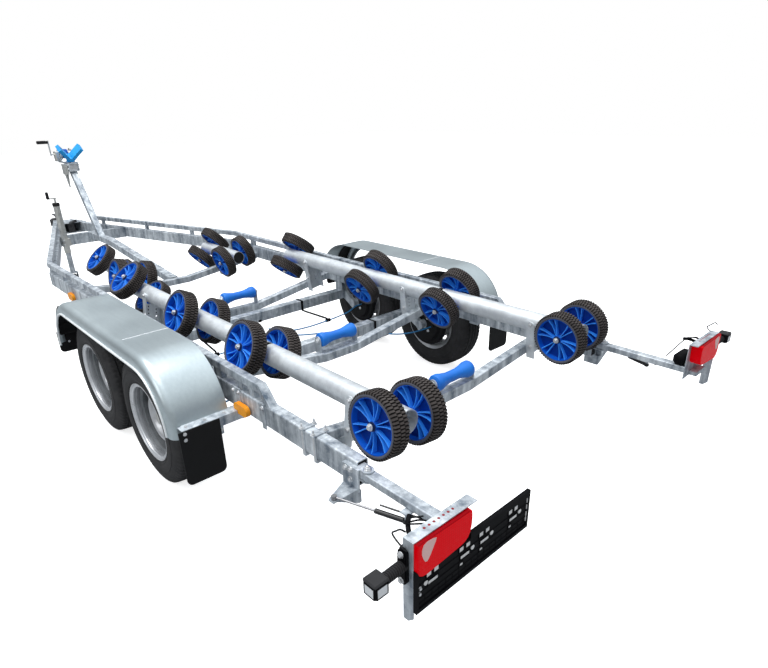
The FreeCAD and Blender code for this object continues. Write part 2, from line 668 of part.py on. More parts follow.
def axle(x):
    """Torsion axle: square tube across, trailing arms, stub axles and brake backplates."""
    tube_x = x + AXLE_TUBE_AHEAD
    half = AXLE_TUBE / 2
    reach = AXLE_ARM_Y
    arm_half = AXLE_ARM_HALF
    past_front, short_back, past_height = AXLE_ARM_WRAP
    tube = block(tube_x - half, tube_x + half, -reach, reach, AXLE_TUBE_Z - half, AXLE_TUBE_Z + half)
    pieces = [tube]
    arm_front = tube_x + half + past_front
    arm_back = tube_x - half + short_back
    arm = [(arm_front, AXLE_TUBE_Z - half), (arm_front, AXLE_TUBE_Z + half),
           (arm_back, AXLE_TUBE_Z + half + past_height), (x, TYRE_RADIUS + arm_half),
           (x, TYRE_RADIUS - arm_half), (arm_back, AXLE_TUBE_Z - half - past_height)]
    foot_half = half + AXLE_FOOT_PROUD
    foot_bottom = AXLE_TUBE_Z + half - AXLE_FOOT_LAP
    for side in (-1, 1):
        low, high = sorted((side * reach, side * (reach + AXLE_ARM_THICK)))
        pieces.append(prism("xz", arm, low, high))
        pieces.append(rod(V(x, low, TYRE_RADIUS), V(x, high, TYRE_RADIUS), arm_half))
        pieces.append(rod(V(x, side * reach, TYRE_RADIUS), V(x, side * STUB_END_Y, TYRE_RADIUS), STUB_RADIUS))
        low, high = sorted((side * BACKPLATE_Y[0], side * BACKPLATE_Y[1]))
        pieces.append(rod(V(x, low, TYRE_RADIUS), V(x, high, TYRE_RADIUS), BACKPLATE_RADIUS))
        foot_y = side * BEAM_Y
        pieces.append(block(tube_x - foot_half, tube_x + foot_half, foot_y - AXLE_FOOT_WIDTH / 2,
                            foot_y + AXLE_FOOT_WIDTH / 2, foot_bottom, BEAM_BOTTOM))
    return fused(pieces)


def revolved(profile, centre, axis):
    """Solid of revolution from (distance along the axis, radius) points."""
    points = [V(0, along, radius) for along, radius in profile]
    face = Part.Face(Part.makePolygon(points + points[:1]))
    solid = face.revolve(V(0, 0, 0), V(0, 1, 0), 360)
    turn = FreeCAD.Rotation(V(0, 1, 0), axis)
    solid.Placement = FreeCAD.Placement(centre, turn)
    return solid


def tyre(x, side):
    half = TYRE_WIDTH / 2
    lower = [(half - across, RIM_SEAT_RADIUS + up) for across, up in TYRE_WALL]
    upper = [(half - across, TYRE_RADIUS - down) for across, down in TYRE_SHOULDER]
    outer = lower + upper
    profile = [(-along, radius) for along, radius in outer] + outer[::-1]
    return revolved(profile, V(x, side * WHEEL_Y, TYRE_RADIUS), V(0, side, 0))


def vent_hole():
    """Oval cutter for one vent of a wheel disc, square to Y."""
    across = VENT_WIDTH / 2
    along = (VENT_LENGTH - VENT_WIDTH) / 2
    ends = [Part.makeCylinder(across, TYRE_WIDTH, V(x, -TYRE_WIDTH / 2, 0), V(0, 1, 0)) for x in (-along, along)]
    middle = block(-along, along, -TYRE_WIDTH / 2, TYRE_WIDTH / 2, -across, across)
    return fused(ends + [middle])


def rim(x, side):
    """Steel rim with its dished and vented disc; the open side faces outwards."""
    half = TYRE_WIDTH / 2
    seat = RIM_SEAT_RADIUS - SEAT_GAP
    inside = RIM_SEAT_RADIUS - RIM_WALL
    flange_end, flange_root, seat_end = (half - across for across in RIM_EDGE)
    lip_back = flange_end - RIM_LIP_BACK
    disc_seat = inside - DISC_SEAT_DEPTH
    bore = STUB_RADIUS + PIN_CLEARANCE
    drum_back, drum_front = HUB_DRUM
    bevel_length, bevel_radius = HUB_CAP_BEVEL
    barrel = [(flange_end, RIM_FLANGE_RADIUS), (flange_root, RIM_FLANGE_RADIUS), (seat_end, seat), (-seat_end, seat),
              (-flange_root, RIM_FLANGE_RADIUS), (-flange_end, RIM_FLANGE_RADIUS), (-lip_back, inside)]
    hub = [(drum_front, HUB_DRUM_RADIUS), (drum_back, HUB_DRUM_RADIUS), (drum_back, bore), (HUB_CAP_END, bore),
           (HUB_CAP_END, HUB_RADIUS - bevel_radius), (HUB_CAP_END - bevel_length, HUB_RADIUS), (0, HUB_RADIUS),
           (0, HUB_PAD_RADIUS)]
    profile = barrel + [(DISC_SEAT[0], disc_seat)] + list(DISC_INSIDE) + hub + list(DISC_OUTSIDE)
    profile += [(DISC_SEAT[1], disc_seat), (lip_back, inside)]
    solid = revolved(profile, V(0, 0, 0), V(0, 1, 0))
    for number in range(VENT_COUNT):
        cutter = vent_hole()
        cutter.translate(V(0, 0, VENT_CIRCLE))
        cutter.rotate(V(0, 0, 0), V(0, 1, 0), number * 360.0 / VENT_COUNT)
        solid = solid.cut(cutter)
    solid = solid if side > 0 else mirrored(solid)
    solid.translate(V(x, side * WHEEL_Y, TYRE_RADIUS))
    return solid


def roller_axis(side, tilt):
    angle = math.radians(tilt)
    return V(0, side * math.cos(angle), math.sin(angle))


def roller_wheel():
    """One wheel of a twin roller round the Y axis: rubber tread on a dished hub with radial ribs."""
    half = ROLLER_WIDTH / 2
    bore = ROLLER_PIN_RADIUS + PIN_CLEARANCE
    floor = half - ROLLER_DISH
    boss = half - ROLLER_BOSS_IN
    face = [(half - ROLLER_SHOULDER, ROLLER_RADIUS), (half - ROLLER_TREAD_IN, ROLLER_RADIUS - ROLLER_TREAD_DROP),
            (half, ROLLER_LIP_RADIUS), (half - ROLLER_LIP_STEP, ROLLER_HUB_RADIUS),
            (floor, ROLLER_HUB_RADIUS - ROLLER_DRAFT[0]), (floor, ROLLER_BOSS_RADIUS + ROLLER_DRAFT[1]),
            (boss, ROLLER_BOSS_RADIUS), (boss, bore)]
    profile = face + [(-along, radius) for along, radius in face[::-1]]
    pieces = [revolved(profile, V(0, 0, 0), V(0, 1, 0))]
    for end in (-1, 1):
        low, high = sorted((end * (floor - CUT_PAST), end * (half - ROLLER_RIB_BELOW)))
        for number in range(ROLLER_RIBS):
            rib = block(-ROLLER_RIB_THICK / 2, ROLLER_RIB_THICK / 2, low, high, ROLLER_BOSS_RADIUS - 2 * CUT_PAST,
                        ROLLER_HUB_RADIUS - CUT_PAST)
            rib.rotate(V(0, 0, 0), V(0, 1, 0), (number + 0.5) * 360.0 / ROLLER_RIBS)
            pieces.append(rib)
    return fused(pieces)


def twin_roller(wheel, x, y, z, side, tilt):
    """Two wheels on one pin, one each side of the roller tube."""
    axis = roller_axis(side, tilt)
    centre = V(x, side * y, z)
    turn = FreeCAD.Rotation(V(0, 1, 0), axis)
    wheels = []
    for end in (-1, 1):
        copy = wheel.copy()
        copy.Placement = FreeCAD.Placement(centre + axis * (end * ROLLER_OFFSET), turn)
        wheels.append(copy)
    pin = rod(centre - axis * ROLLER_PIN_REACH, centre + axis * ROLLER_PIN_REACH, ROLLER_PIN_RADIUS)
    return Part.makeCompound(wheels + [pin])


def rail_tube(span, y, z, rollers):
    """Round tube along X with a cross hole for each roller pin that passes through it."""
    tube = pipe(V(span[0], y, z), V(span[1], y, z), RAIL_TUBE_RADIUS, RAIL_TUBE_WALL)
    for x, tilt in rollers:
        axis = roller_axis(1, tilt) * (RAIL_TUBE_RADIUS + 10)
        centre = V(x, y, z)
        if span[0] < x < span[1]:
            tube = tube.cut(rod(centre - axis, centre + axis, ROLLER_PIN_RADIUS + PIN_CLEARANCE))
    return tube


def post(x, y, z, spec, facing):
    """Folded channel that carries a roller tube, standing square on the slope of a cross tube."""
    slope = cross_slope(spec)
    lean = math.atan(slope)
    tube_top = spec[1] + slope * (y - CROSS_FLAT)
    bottom = -(z - tube_top) * math.cos(lean) - CROSS_TUBE - POST_BELOW
    half = POST_WIDTH / 2
    web_top = -RAIL_TUBE_RADIUS - POST_WEB_DROP
    web = block(0, POST_THICK, -half, half, bottom, web_top)
    pieces = [web]
    back, front = (POST_THICK - POST_DEPTH, POST_THICK) if facing < 0 else (0, POST_DEPTH)
    crown = (front - back) / 2
    for side in (-1, 1):
        low, high = sorted((side * half, side * (half - POST_THICK)))
        pieces.append(block(back, front, low, high, bottom, POST_EAR_TOP - crown))
        pieces.append(rod(V((back + front) / 2, low, POST_EAR_TOP - crown),
                          V((back + front) / 2, high, POST_EAR_TOP - crown), crown))
    shape = fused(pieces)
    for row in range(POST_HOLE_ROWS):
        for column in (-1, 1):
            centre = V(-1, column * POST_HOLE_SIDE, web_top - POST_HOLE_DROP - row * POST_HOLE_PITCH)
            shape = shape.cut(Part.makeCylinder(POST_HOLE_RADIUS, POST_THICK + 2, centre, V(1, 0, 0)))
    shape = shape.cut(rod(V(-POST_DEPTH, 0, 0), V(2 * POST_DEPTH, 0, 0), RAIL_TUBE_RADIUS - 1))
    shape.rotate(V(0, 0, 0), V(1, 0, 0), math.degrees(lean))
    shape.translate(V(x, y, z))
    return shape


def roller_rails(side):
    """Roller tubes of one side, drawn on the left, with the posts that carry them."""
    hull = HULL_ROLLERS[side]
    rear = rail_tube(REAR_TUBE, HULL_RAIL_Y, HULL_RAIL_Z, hull)
    long = rail_tube((LONG_TUBE_START, hull[-1][0] + TUBE_PAST_PIN), HULL_RAIL_Y, HULL_RAIL_Z, hull)
    fore = rail_tube(FORE_TUBE, FORE_RAIL_Y, FORE_RAIL_Z, FORE_ROLLERS[side])
    behind = CROSS_TUBE / 2 + POST_THICK
    rear_post = post(CROSS_REAR[0] - behind, HULL_RAIL_Y, HULL_RAIL_Z, CROSS_REAR, -1)
    mid_post = post(CROSS_MID[0] + CROSS_TUBE / 2, HULL_RAIL_Y, HULL_RAIL_Z, CROSS_MID, 1)
    front_post = post(CROSS_FRONT[0] - behind, HULL_RAIL_Y, HULL_RAIL_Z, CROSS_FRONT, -1)
    fore_post = post(CROSS_FORE[0] - behind, FORE_RAIL_Y, FORE_RAIL_Z, CROSS_FORE, -1)
    return Part.makeCompound([fused([rear, rear_post]), fused([long, mid_post, front_post]),
                              fused([fore, fore_post])])


def keel_roller(x, z):
    """Hourglass roller with its pin."""
    half = KEEL_HALF_LENGTH
    side = [(half * KEEL_WAIST_SHARE, KEEL_WAIST_RADIUS), (half * KEEL_END_SHARE, KEEL_END_RADIUS),
            (half, KEEL_END_RADIUS), (half, 0)]
    profile = [(-along, radius) for along, radius in side[::-1]] + side
    reach = half + KEEL_EAR_GAP + KEEL_EAR_THICK + KEEL_PIN_PROUD
    pin = rod(V(x, -reach, z), V(x, reach, z), KEEL_PIN_RADIUS)
    return fused([revolved(profile, V(x, 0, z), V(0, 1, 0)), pin])


def guard_outline(inset):
    """Side view of a mudguard, moved inwards by an inset."""
    reach = GUARD_HALF_LENGTH - inset
    top = GUARD_TOP - inset
    corner = GUARD_CORNER - inset
    bend = math.radians(45)
    edges = []
    low = GUARD_BOTTOM
    centre_z = top - corner
    for side in (1, -1):
        centre_x = side * (reach - corner)
        middle = V(centre_x + side * corner * math.cos(bend), 0, centre_z + corner * math.sin(bend))
        edges.append(Part.Arc(V(side * reach, 0, centre_z), middle, V(centre_x, 0, top)).toShape())
        edges.append(Part.makeLine(V(side * reach, 0, low), V(side * reach, 0, centre_z)))
    edges.append(Part.makeLine(V(-(reach - corner), 0, top), V(reach - corner, 0, top)))
    edges.append(Part.makeLine(V(-reach, 0, low), V(reach, 0, low)))
    return Part.Face(Part.Wire(Part.__sortEdges__(edges)))


def guard_block(inset, inner_y, outer_y, shoulder):
    solid = guard_outline(inset).extrude(V(0, outer_y - inner_y, 0))
    solid.translate(V(0, inner_y, 0))
    if not shoulder:
        return solid
    edges = [e for e in solid.Edges
             if abs(e.CenterOfMass.y - outer_y) < 1 and e.CenterOfMass.z > GUARD_BOTTOM + 1]
    return solid.makeFillet(shoulder, edges)


def mudguard():
    """Left tandem mudguard: one curved sheet with a round shoulder, an outer skirt and a rolled lip."""
    under = GUARD_INNER_Y - CUT_PAST
    inner_shoulder = GUARD_SHOULDER - GUARD_SHEET
    outer = guard_block(0, GUARD_INNER_Y, GUARD_OUTER_Y, GUARD_SHOULDER)
    inner = guard_block(GUARD_SHEET, under, GUARD_OUTER_Y - GUARD_SHEET, inner_shoulder)
    through = guard_block(GUARD_SKIRT, under, GUARD_OUTER_Y + GUARD_LIP_PROUD + CUT_PAST, 0)
    sheet = outer.cut(inner).cut(through)
    lip_outer = guard_block(GUARD_SKIRT - GUARD_LIP, GUARD_OUTER_Y - GUARD_SHEET, GUARD_OUTER_Y + GUARD_LIP_PROUD, 0)
    lip = lip_outer.cut(through)
    beyond = 2 * GUARD_HALF_LENGTH
    fold = GUARD_OUTER_Y - GUARD_SHOULDER
    below = block(-beyond, beyond, 0, 2 * GUARD_OUTER_Y, 0, GUARD_BOTTOM)
    below_sheet = block(-beyond, beyond, 0, fold, 0, GUARD_SHEET_BOTTOM)
    return fused([sheet, lip]).cut(below).cut(below_sheet)


def oval(x, y, z, length, height, depth):
    """Flat-backed oval plate that stands out from a wall at y."""
    radius = height / 2
    run = (length - height) / 2
    ends = [Part.makeCylinder(radius, depth, V(x + way * run, y, z), V(0, 1, 0)) for way in (-1, 1)]
    return fused(ends + [block(x - run, x + run, y, y + depth, z - radius, z + radius)])


def guard_brackets():
    """Angle bars from plates on the left beam that hold the mudguard's two ends and the mud flaps."""
    bars = []
    wide, high = BRACKET_PLATE
    start = BEAM_OUTER_Y + BRACKET_PLATE_THICK
    lap_end = GUARD_OUTER_Y - GUARD_SHOULDER - BRACKET_LAP_SHORT
    for end in (-1, 1):
        near = end * GUARD_HALF_LENGTH
        far = end * (GUARD_HALF_LENGTH + BRACKET_SIZE)
        back, front = sorted((near, far))
        top = block(back, front, BEAM_OUTER_Y, BRACKET_END_Y, BRACKET_TOP - BRACKET_THICK, BRACKET_TOP)
        back, front = sorted((near, near - end * BRACKET_LAP))
        lap = block(back, front, BEAM_OUTER_Y, lap_end, BRACKET_TOP - BRACKET_THICK, BRACKET_TOP)
        low, up = sorted((far, far - end * BRACKET_THICK))
        face = block(low, up, BEAM_OUTER_Y, BRACKET_END_Y, BRACKET_TOP - BRACKET_SIZE, BRACKET_TOP)
        strap_y = FLAP_Y[0] - FLAP_STRAP_GAP
        strap = block(low, up, strap_y - FLAP_STRAP_WIDTH, strap_y, FLAP_STRAP_BOTTOM, BRACKET_TOP - BRACKET_THICK)
        middle = end * (GUARD_HALF_LENGTH + BRACKET_PLATE_PAST)
        plate = block(middle - wide / 2, middle + wide / 2, BEAM_OUTER_Y, start, BRACKET_PLATE_BOTTOM,
                      BRACKET_PLATE_BOTTOM + high)
        bars.append(fused([top, lap, face, strap, plate]))
    room = oval(REAR_MARKER_X, start, MARKER_Z, SIDE_MARKER_LENGTH + 2 * MARKER_ROOM,
                SIDE_MARKER_HEIGHT + 2 * MARKER_ROOM, SIDE_MARKER_DEPTH + MARKER_ROOM)
    return Part.makeCompound(bars).cut(room)


def flap(x, low, high):
    """Rubber sheet with round lower corners, its front face at x."""
    y0, y1 = FLAP_Y
    radius = FLAP_CORNER
    sheet = block(x - FLAP_THICK, x, y0, y1, low + radius, high)
    lower = block(x - FLAP_THICK, x, y0 + radius, y1 - radius, low, low + radius)
    corners = [rod(V(x - FLAP_THICK, y, low + radius), V(x, y, low + radius), radius)
               for y in (y0 + radius, y1 - radius)]
    return fused([sheet, lower] + corners)


def mud_flaps():
    """Left mud flaps: the long one behind the wheels and the short one in the guard's front end."""
    face = GUARD_HALF_LENGTH + BRACKET_SIZE
    rear = flap(-face - SEAT_GAP, *FLAP_Z)
    front = flap(face - BRACKET_THICK - SEAT_GAP, *FRONT_FLAP_Z)
    return Part.makeCompound([rear, front])


def side_markers():
    """Left amber side markers."""
    rear_y = BEAM_OUTER_Y + BRACKET_PLATE_THICK + SEAT_GAP
    size = (SIDE_MARKER_LENGTH, SIDE_MARKER_HEIGHT, SIDE_MARKER_DEPTH)
    rear = oval(REAR_MARKER_X, rear_y, MARKER_Z, *size)
    front = oval(FRONT_MARKER_X, BEAM_OUTER_Y + SEAT_GAP, MARKER_Z, *size)
    return Part.makeCompound([rear, front])


def winch_post():
    """Square post that leans forward from the spine."""
    line = stretched([POST_FOOT, POST_HEAD], POST_SIZE)
    path = [V(x, 0, z) for x, z in line]
    bar = round_tube(path, POST_SIZE, POST_SIZE, POST_WALL, POST_EDGE)
    reach = 2 * POST_SIZE
    return bar.common(block(POST_FOOT[0] - reach, POST_HEAD[0] + reach, -reach, reach, BEAM_TOP, POST_HEAD[1]))


def winch_frame():
    """Folded clamp on the post, the winch's base and side plates, and the stay below."""
    x, z = POST_HEAD
    low = z + SEAT_GAP
    top = z + CLAMP_HEIGHT
    half_length, half_width = CLAMP_LENGTH / 2, CLAMP_WIDTH / 2
    clamp = block(x - half_length, x + half_length, -half_width, half_width, low, top)
    room = block(x - half_length - CUT_PAST, x + half_length + CUT_PAST, -half_width + CLAMP_THICK,
                 half_width - CLAMP_THICK, low + CLAMP_THICK, top - CLAMP_THICK)
    base = block(x - WINCH_BASE_BACK, DRUM_X + WINCH_BASE_FRONT, -WINCH_PLATE_Y, WINCH_PLATE_Y, top - CUT_PAST,
                 top + WINCH_BASE_THICK)
    tab_view = [(along, TAB_SINK) for along in TAB_TOP] + list(TAB_POINTS)
    tab = prism("xz", moved_by(tab_view, x, low), -TAB_THICK / 2, TAB_THICK / 2)
    pieces = [clamp.cut(room), base, tab]
    long_half, short_half = WINCH_PLATE_HALF
    shoulder, peak = WINCH_PLATE_RISE
    side_view = [(DRUM_X - long_half, top), (DRUM_X + long_half, top), (DRUM_X + long_half, DRUM_Z + shoulder),
                 (DRUM_X + short_half, DRUM_Z + peak), (DRUM_X - short_half, DRUM_Z + peak),
                 (DRUM_X - long_half, DRUM_Z + shoulder)]
    for side in (-1, 1):
        inner, outer = sorted((side * WINCH_PLATE_Y, side * (WINCH_PLATE_Y - WINCH_PLATE_THICK)))
        hole = rod(V(DRUM_X, inner - CUT_PAST, DRUM_Z), V(DRUM_X, outer + CUT_PAST, DRUM_Z),
                   SHAFT_RADIUS + PIN_CLEARANCE)
        pieces.append(prism("xz", side_view, inner, outer).cut(hole))
    return fused(pieces)


def winch_drum():
    """Drum with its flanges, gear, shaft, crank and grip."""
    edge = WINCH_PLATE_Y - WINCH_PLATE_THICK - DRUM_GAP
    profile = [(-edge, 0), (-edge, FLANGE_RADIUS), (-edge + FLANGE_THICK, FLANGE_RADIUS),
               (-edge + FLANGE_THICK, DRUM_RADIUS), (edge - GEAR_THICK, DRUM_RADIUS),
               (edge - GEAR_THICK, FLANGE_RADIUS), (edge, FLANGE_RADIUS - FLANGE_THICK), (edge, 0)]
    drum = revolved(profile, V(DRUM_X, 0, DRUM_Z), V(0, 1, 0))
    shaft = rod(V(DRUM_X, SHAFT_Y[0], DRUM_Z), V(DRUM_X, SHAFT_Y[1], DRUM_Z), SHAFT_RADIUS)
    arm = block(DRUM_X - CRANK_HALF_WIDTH, DRUM_X + CRANK_HALF_WIDTH, *CRANK_Y, DRUM_Z - CRANK_ENDS[0],
                DRUM_Z + CRANK_REACH + CRANK_ENDS[1])
    grip = revolved(CRANK_GRIP, V(DRUM_X, CRANK_GRIP_Y, DRUM_Z + CRANK_REACH), V(0, 1, 0))
    return fused([drum, shaft, arm, grip])


def bow_stop():
    """Block with a V that the bow runs up against, leaning back over the post's clamp."""
    arm = list(STOP_LINE)
    line = [(-y, z) for y, z in arm[::-1]] + arm
    shape = prism("yz", ribbon(line, STOP_THICK), -STOP_WIDTH / 2, STOP_WIDTH / 2)
    foot = block(-STOP_FOOT / 2, STOP_FOOT / 2, -STOP_FOOT / 2, STOP_FOOT / 2, -STOP_DROP, 0)
    shape = fused([shape, foot])
    shape.rotate(V(0, 0, 0), V(0, 1, 0), STOP_LEAN)
    shape.translate(STOP_APEX)
    level = POST_HEAD[1] + CLAMP_HEIGHT + WINCH_BASE_THICK + SEAT_GAP
    return shape.cut(block(0, 2 * POST_HEAD[0], -POST_HEAD[1], POST_HEAD[1], 0, level))


def jack_sleeve():
    """Jack's outer tube with its crank, clamped to the front crossbeam."""
    x, y, top = JACK_X, JACK_Y, JACK_TOP
    wall = JACK_SLEEVE_RADIUS - JACK_LEG_RADIUS - PIN_CLEARANCE
    sleeve = pipe(V(x, y, JACK_SLEEVE_BOTTOM), V(x, y, top), JACK_SLEEVE_RADIUS, wall)
    cap = rod(V(x, y, top - JACK_CAP), V(x, y, top), JACK_SLEEVE_RADIUS)
    screw = rod(V(x, y, top), V(x, y, top + JACK_SCREW_TOP), JACK_SCREW_RADIUS)
    half = JACK_CRANK_HALF_WIDTH
    crank = block(x - half, x + half, y + JACK_CRANK_Y[0], y + JACK_CRANK_Y[1], top + JACK_CRANK_Z[0],
                  top + JACK_CRANK_Z[1])
    grip_y = y + JACK_GRIP_Y
    grip = rod(V(x, grip_y, top + JACK_GRIP_Z[0]), V(x, grip_y, top + JACK_GRIP_Z[1]), JACK_GRIP_RADIUS)
    face = FRONT_CROSSBEAM_X - FRONT_CROSSBEAM_WIDTH / 2
    low, high = JACK_CLAMP_Z
    clamp = block(x - JACK_CLAMP_BACK, face, y + JACK_CLAMP_Y[0], y + JACK_CLAMP_Y[1], low, high)
    hole = rod(V(x, y, low - CUT_PAST), V(x, y, high + CUT_PAST), JACK_SLEEVE_RADIUS - CUT_PAST)
    return fused([sleeve, cap, screw, crank, grip, clamp.cut(hole)])


def jack_leg():
    """Jack's inner tube with the fork of its wheel."""
    x, y, axle_z = JACK_X, JACK_Y, JACK_WHEEL_RADIUS
    crown_low, crown_high = (axle_z + rise for rise in JACK_CROWN_Z)
    leg = rod(V(x, y, crown_high), V(x, y, JACK_LEG_TOP), JACK_LEG_RADIUS)
    half_length, half_width = JACK_CROWN_HALF
    crown = block(x - half_length, x + half_length, y - half_width, y + half_width, crown_low, crown_high)
    ears = [block(x - JACK_EAR_HALF, x + JACK_EAR_HALF, low, low + JACK_EAR_THICK, axle_z + JACK_EAR_Z[0],
                  axle_z + JACK_EAR_Z[1]) for low in (y - half_width, y + half_width - JACK_EAR_THICK)]
    past = half_width + CUT_PAST
    hole = rod(V(x, y - past, axle_z), V(x, y + past, axle_z), JACK_AXLE_RADIUS + PIN_CLEARANCE)
    return fused([leg, crown] + ears).cut(hole)


def jack_wheel():
    """Jack's wheel with its axle."""
    half = JACK_WHEEL_WIDTH / 2
    radius = JACK_WHEEL_RADIUS
    shoulder = half - JACK_WHEEL_EDGE
    profile = [(-half, 0), (-half, JACK_WHEEL_FLAT), (-shoulder, radius), (shoulder, radius), (half, JACK_WHEEL_FLAT),
               (half, 0)]
    wheel = revolved(profile, V(JACK_X, JACK_Y, radius), V(0, 1, 0))
    reach = JACK_AXLE_REACH
    pin = rod(V(JACK_X, JACK_Y - reach, radius), V(JACK_X, JACK_Y + reach, radius), JACK_AXLE_RADIUS)
    return fused([wheel, pin])


def arm_hinge():
    """Two ears and a pin at the left beam's end, with the plate that carries the gas strut's lug."""
    bottom = ARM_TOP - ARM_HEIGHT
    rear, front = HINGE_PLATE_X
    plate_in, plate_out = HINGE_PLATE_Y
    inner = ARM_Y - ARM_WIDTH / 2
    pieces = [block(rear, front, plate_in, plate_out, *HINGE_PLATE_Z)]
    pieces.append(block(BEAM_REAR_X, front, BEAM_OUTER_Y, plate_in, *HINGE_PLATE_Z))
    for low in (ARM_TOP + EAR_GAP, bottom - EAR_GAP - EAR_THICK):
        ear = block(ARM_PIVOT_X, BEAM_REAR_X, inner, plate_out, low, low + EAR_THICK)
        outer_cut = block(ARM_PIVOT_X, rear, plate_in - 2 * CUT_PAST, plate_out + CUT_PAST, low - CUT_PAST,
                          low + EAR_THICK + CUT_PAST)
        crown = Part.makeCylinder(EAR_REACH, EAR_THICK, V(ARM_PIVOT_X, ARM_Y, low))
        pieces += [ear.cut(outer_cut), crown]
    pieces.append(rod(V(ARM_PIVOT_X, ARM_Y, bottom - ARM_PIN_PROUD), V(ARM_PIVOT_X, ARM_Y, ARM_TOP + ARM_PIN_PROUD),
                      ARM_PIN_RADIUS))
    lug_x = ARM_PIVOT_X + STRUT_LUG[0]
    lug_y = ARM_Y + STRUT_LUG[1]
    lug_rear = lug_x - LUG_HALF
    lug_top = STRUT_Z - STRUT_BODY_RADIUS - LUG_GAP
    shelf = [(front, plate_in), (lug_x + LUG_HALF, lug_y + LUG_HALF), (lug_rear, lug_y + LUG_HALF),
             (lug_rear, plate_in)]
    pieces.append(prism("xy", shelf, lug_top - LUG_THICK, lug_top))
    web_top = lug_top - LUG_WEB_THICK
    web_low = lug_top - LUG_WEB_DROP
    web = [(plate_in, web_low), (lug_y, web_top), (plate_in, web_top)]
    pieces.append(prism("yz", web, lug_rear, lug_rear + LUG_WEB_THICK))
    pieces.append(block(lug_rear, front, BEAM_OUTER_Y, plate_in + CUT_PAST, web_low, HINGE_PLATE_Z[0] + CUT_PAST))
    return fused(pieces)


def light_arm():
    """Left tube that swings out, with the folded plate that holds the lamps."""
    x0 = LAMP_FACE_X
    x1 = LAMP_FACE_X + LAMP_PLATE_DEPTH
    bottom = ARM_TOP - ARM_HEIGHT
    middle = ARM_TOP - ARM_HEIGHT / 2
    thick = LAMP_PLATE_THICK
    path = [V(x1, ARM_Y, middle), V(ARM_PIVOT_X + ARM_ROOT, ARM_Y, middle)]
    tube = round_tube(path, ARM_WIDTH, ARM_HEIGHT, ARM_WALL, ARM_EDGE)
    hole = rod(V(ARM_PIVOT_X, ARM_Y, bottom - CUT_PAST), V(ARM_PIVOT_X, ARM_Y, ARM_TOP + CUT_PAST),
               ARM_PIN_RADIUS + PIN_CLEARANCE)
    top = block(x0, x1, LAMP_PLATE_INNER_Y, LAMP_PLATE_OUTER_Y, LAMP_PLATE_TOP - thick, LAMP_PLATE_TOP)
    web = block(x1 - thick, x1, LAMP_PLATE_INNER_Y, LAMP_PLATE_OUTER_Y, LAMP_PLATE_BOTTOM, LAMP_PLATE_TOP)
    cut = LAMP_PLATE_DEPTH / 2
    side_view = [(x0, LAMP_PLATE_TOP), (x1, LAMP_PLATE_TOP), (x1, SIDE_PLATE_BOTTOM), (x0 + cut, SIDE_PLATE_BOTTOM),
                 (x0, SIDE_PLATE_BOTTOM + cut)]
    side = prism("xz", side_view, LAMP_PLATE_OUTER_Y - thick, LAMP_PLATE_OUTER_Y)
    pin_x = ARM_PIVOT_X + STRUT_PIN[0]
    pin_y = ARM_Y + STRUT_PIN[1]
    tab_half, tab_inner, tab_outer = STRUT_TAB
    tab_top = bottom + CUT_PAST
    tab = block(pin_x - tab_half, pin_x + tab_half, ARM_Y - tab_inner, pin_y + tab_outer, tab_top - STRUT_TAB_THICK,
                tab_top)
    stud = rod(V(pin_x, pin_y, STRUT_Z - STUD_BELOW), V(pin_x, pin_y, bottom - 2 * CUT_PAST), STRUT_STUD_RADIUS)
    carrier_low, carrier_high = (LAMP_PLATE_BOTTOM + rise for rise in CARRIER_Z)
    carrier = block(x0 + SEAT_GAP, x1 - CUT_PAST, ARM_Y + CARRIER_Y[0], ARM_Y + CARRIER_Y[1], carrier_low,
                    carrier_high)
    return fused([tube.cut(hole), top, web, side, tab, stud, carrier])


def lamp_outline(gap):
    """Rear view of the left lamp, grown by a gap."""
    outer = LAMP_PLATE_OUTER_Y - LAMP_PLATE_THICK - SEAT_GAP
    top = LAMP_PLATE_TOP - LAMP_PLATE_THICK - SEAT_GAP
    inner = LAMP_PLATE_INNER_Y + LAMP_INNER_GAP
    step, drop = LAMP_INNER_CORNER
    lower = [(outer - across, top - down - gap) for across, down in LAMP_LOWER_CORNERS]
    return [(outer + gap, top + gap), (inner - gap, top - LAMP_TOP_FALL + gap),
            (inner + step - gap, top - drop - gap)] + lower + [(outer + gap, top - LAMP_OUTER_DROP)]


def lamp():
    """Red tail lamp in the folded plate."""
    x = LAMP_FACE_X
    depth = LAMP_PLATE_DEPTH - LAMP_PLATE_THICK - SEAT_GAP
    return prism("yz", lamp_outline(0), x - LAMP_PROUD, x + depth)


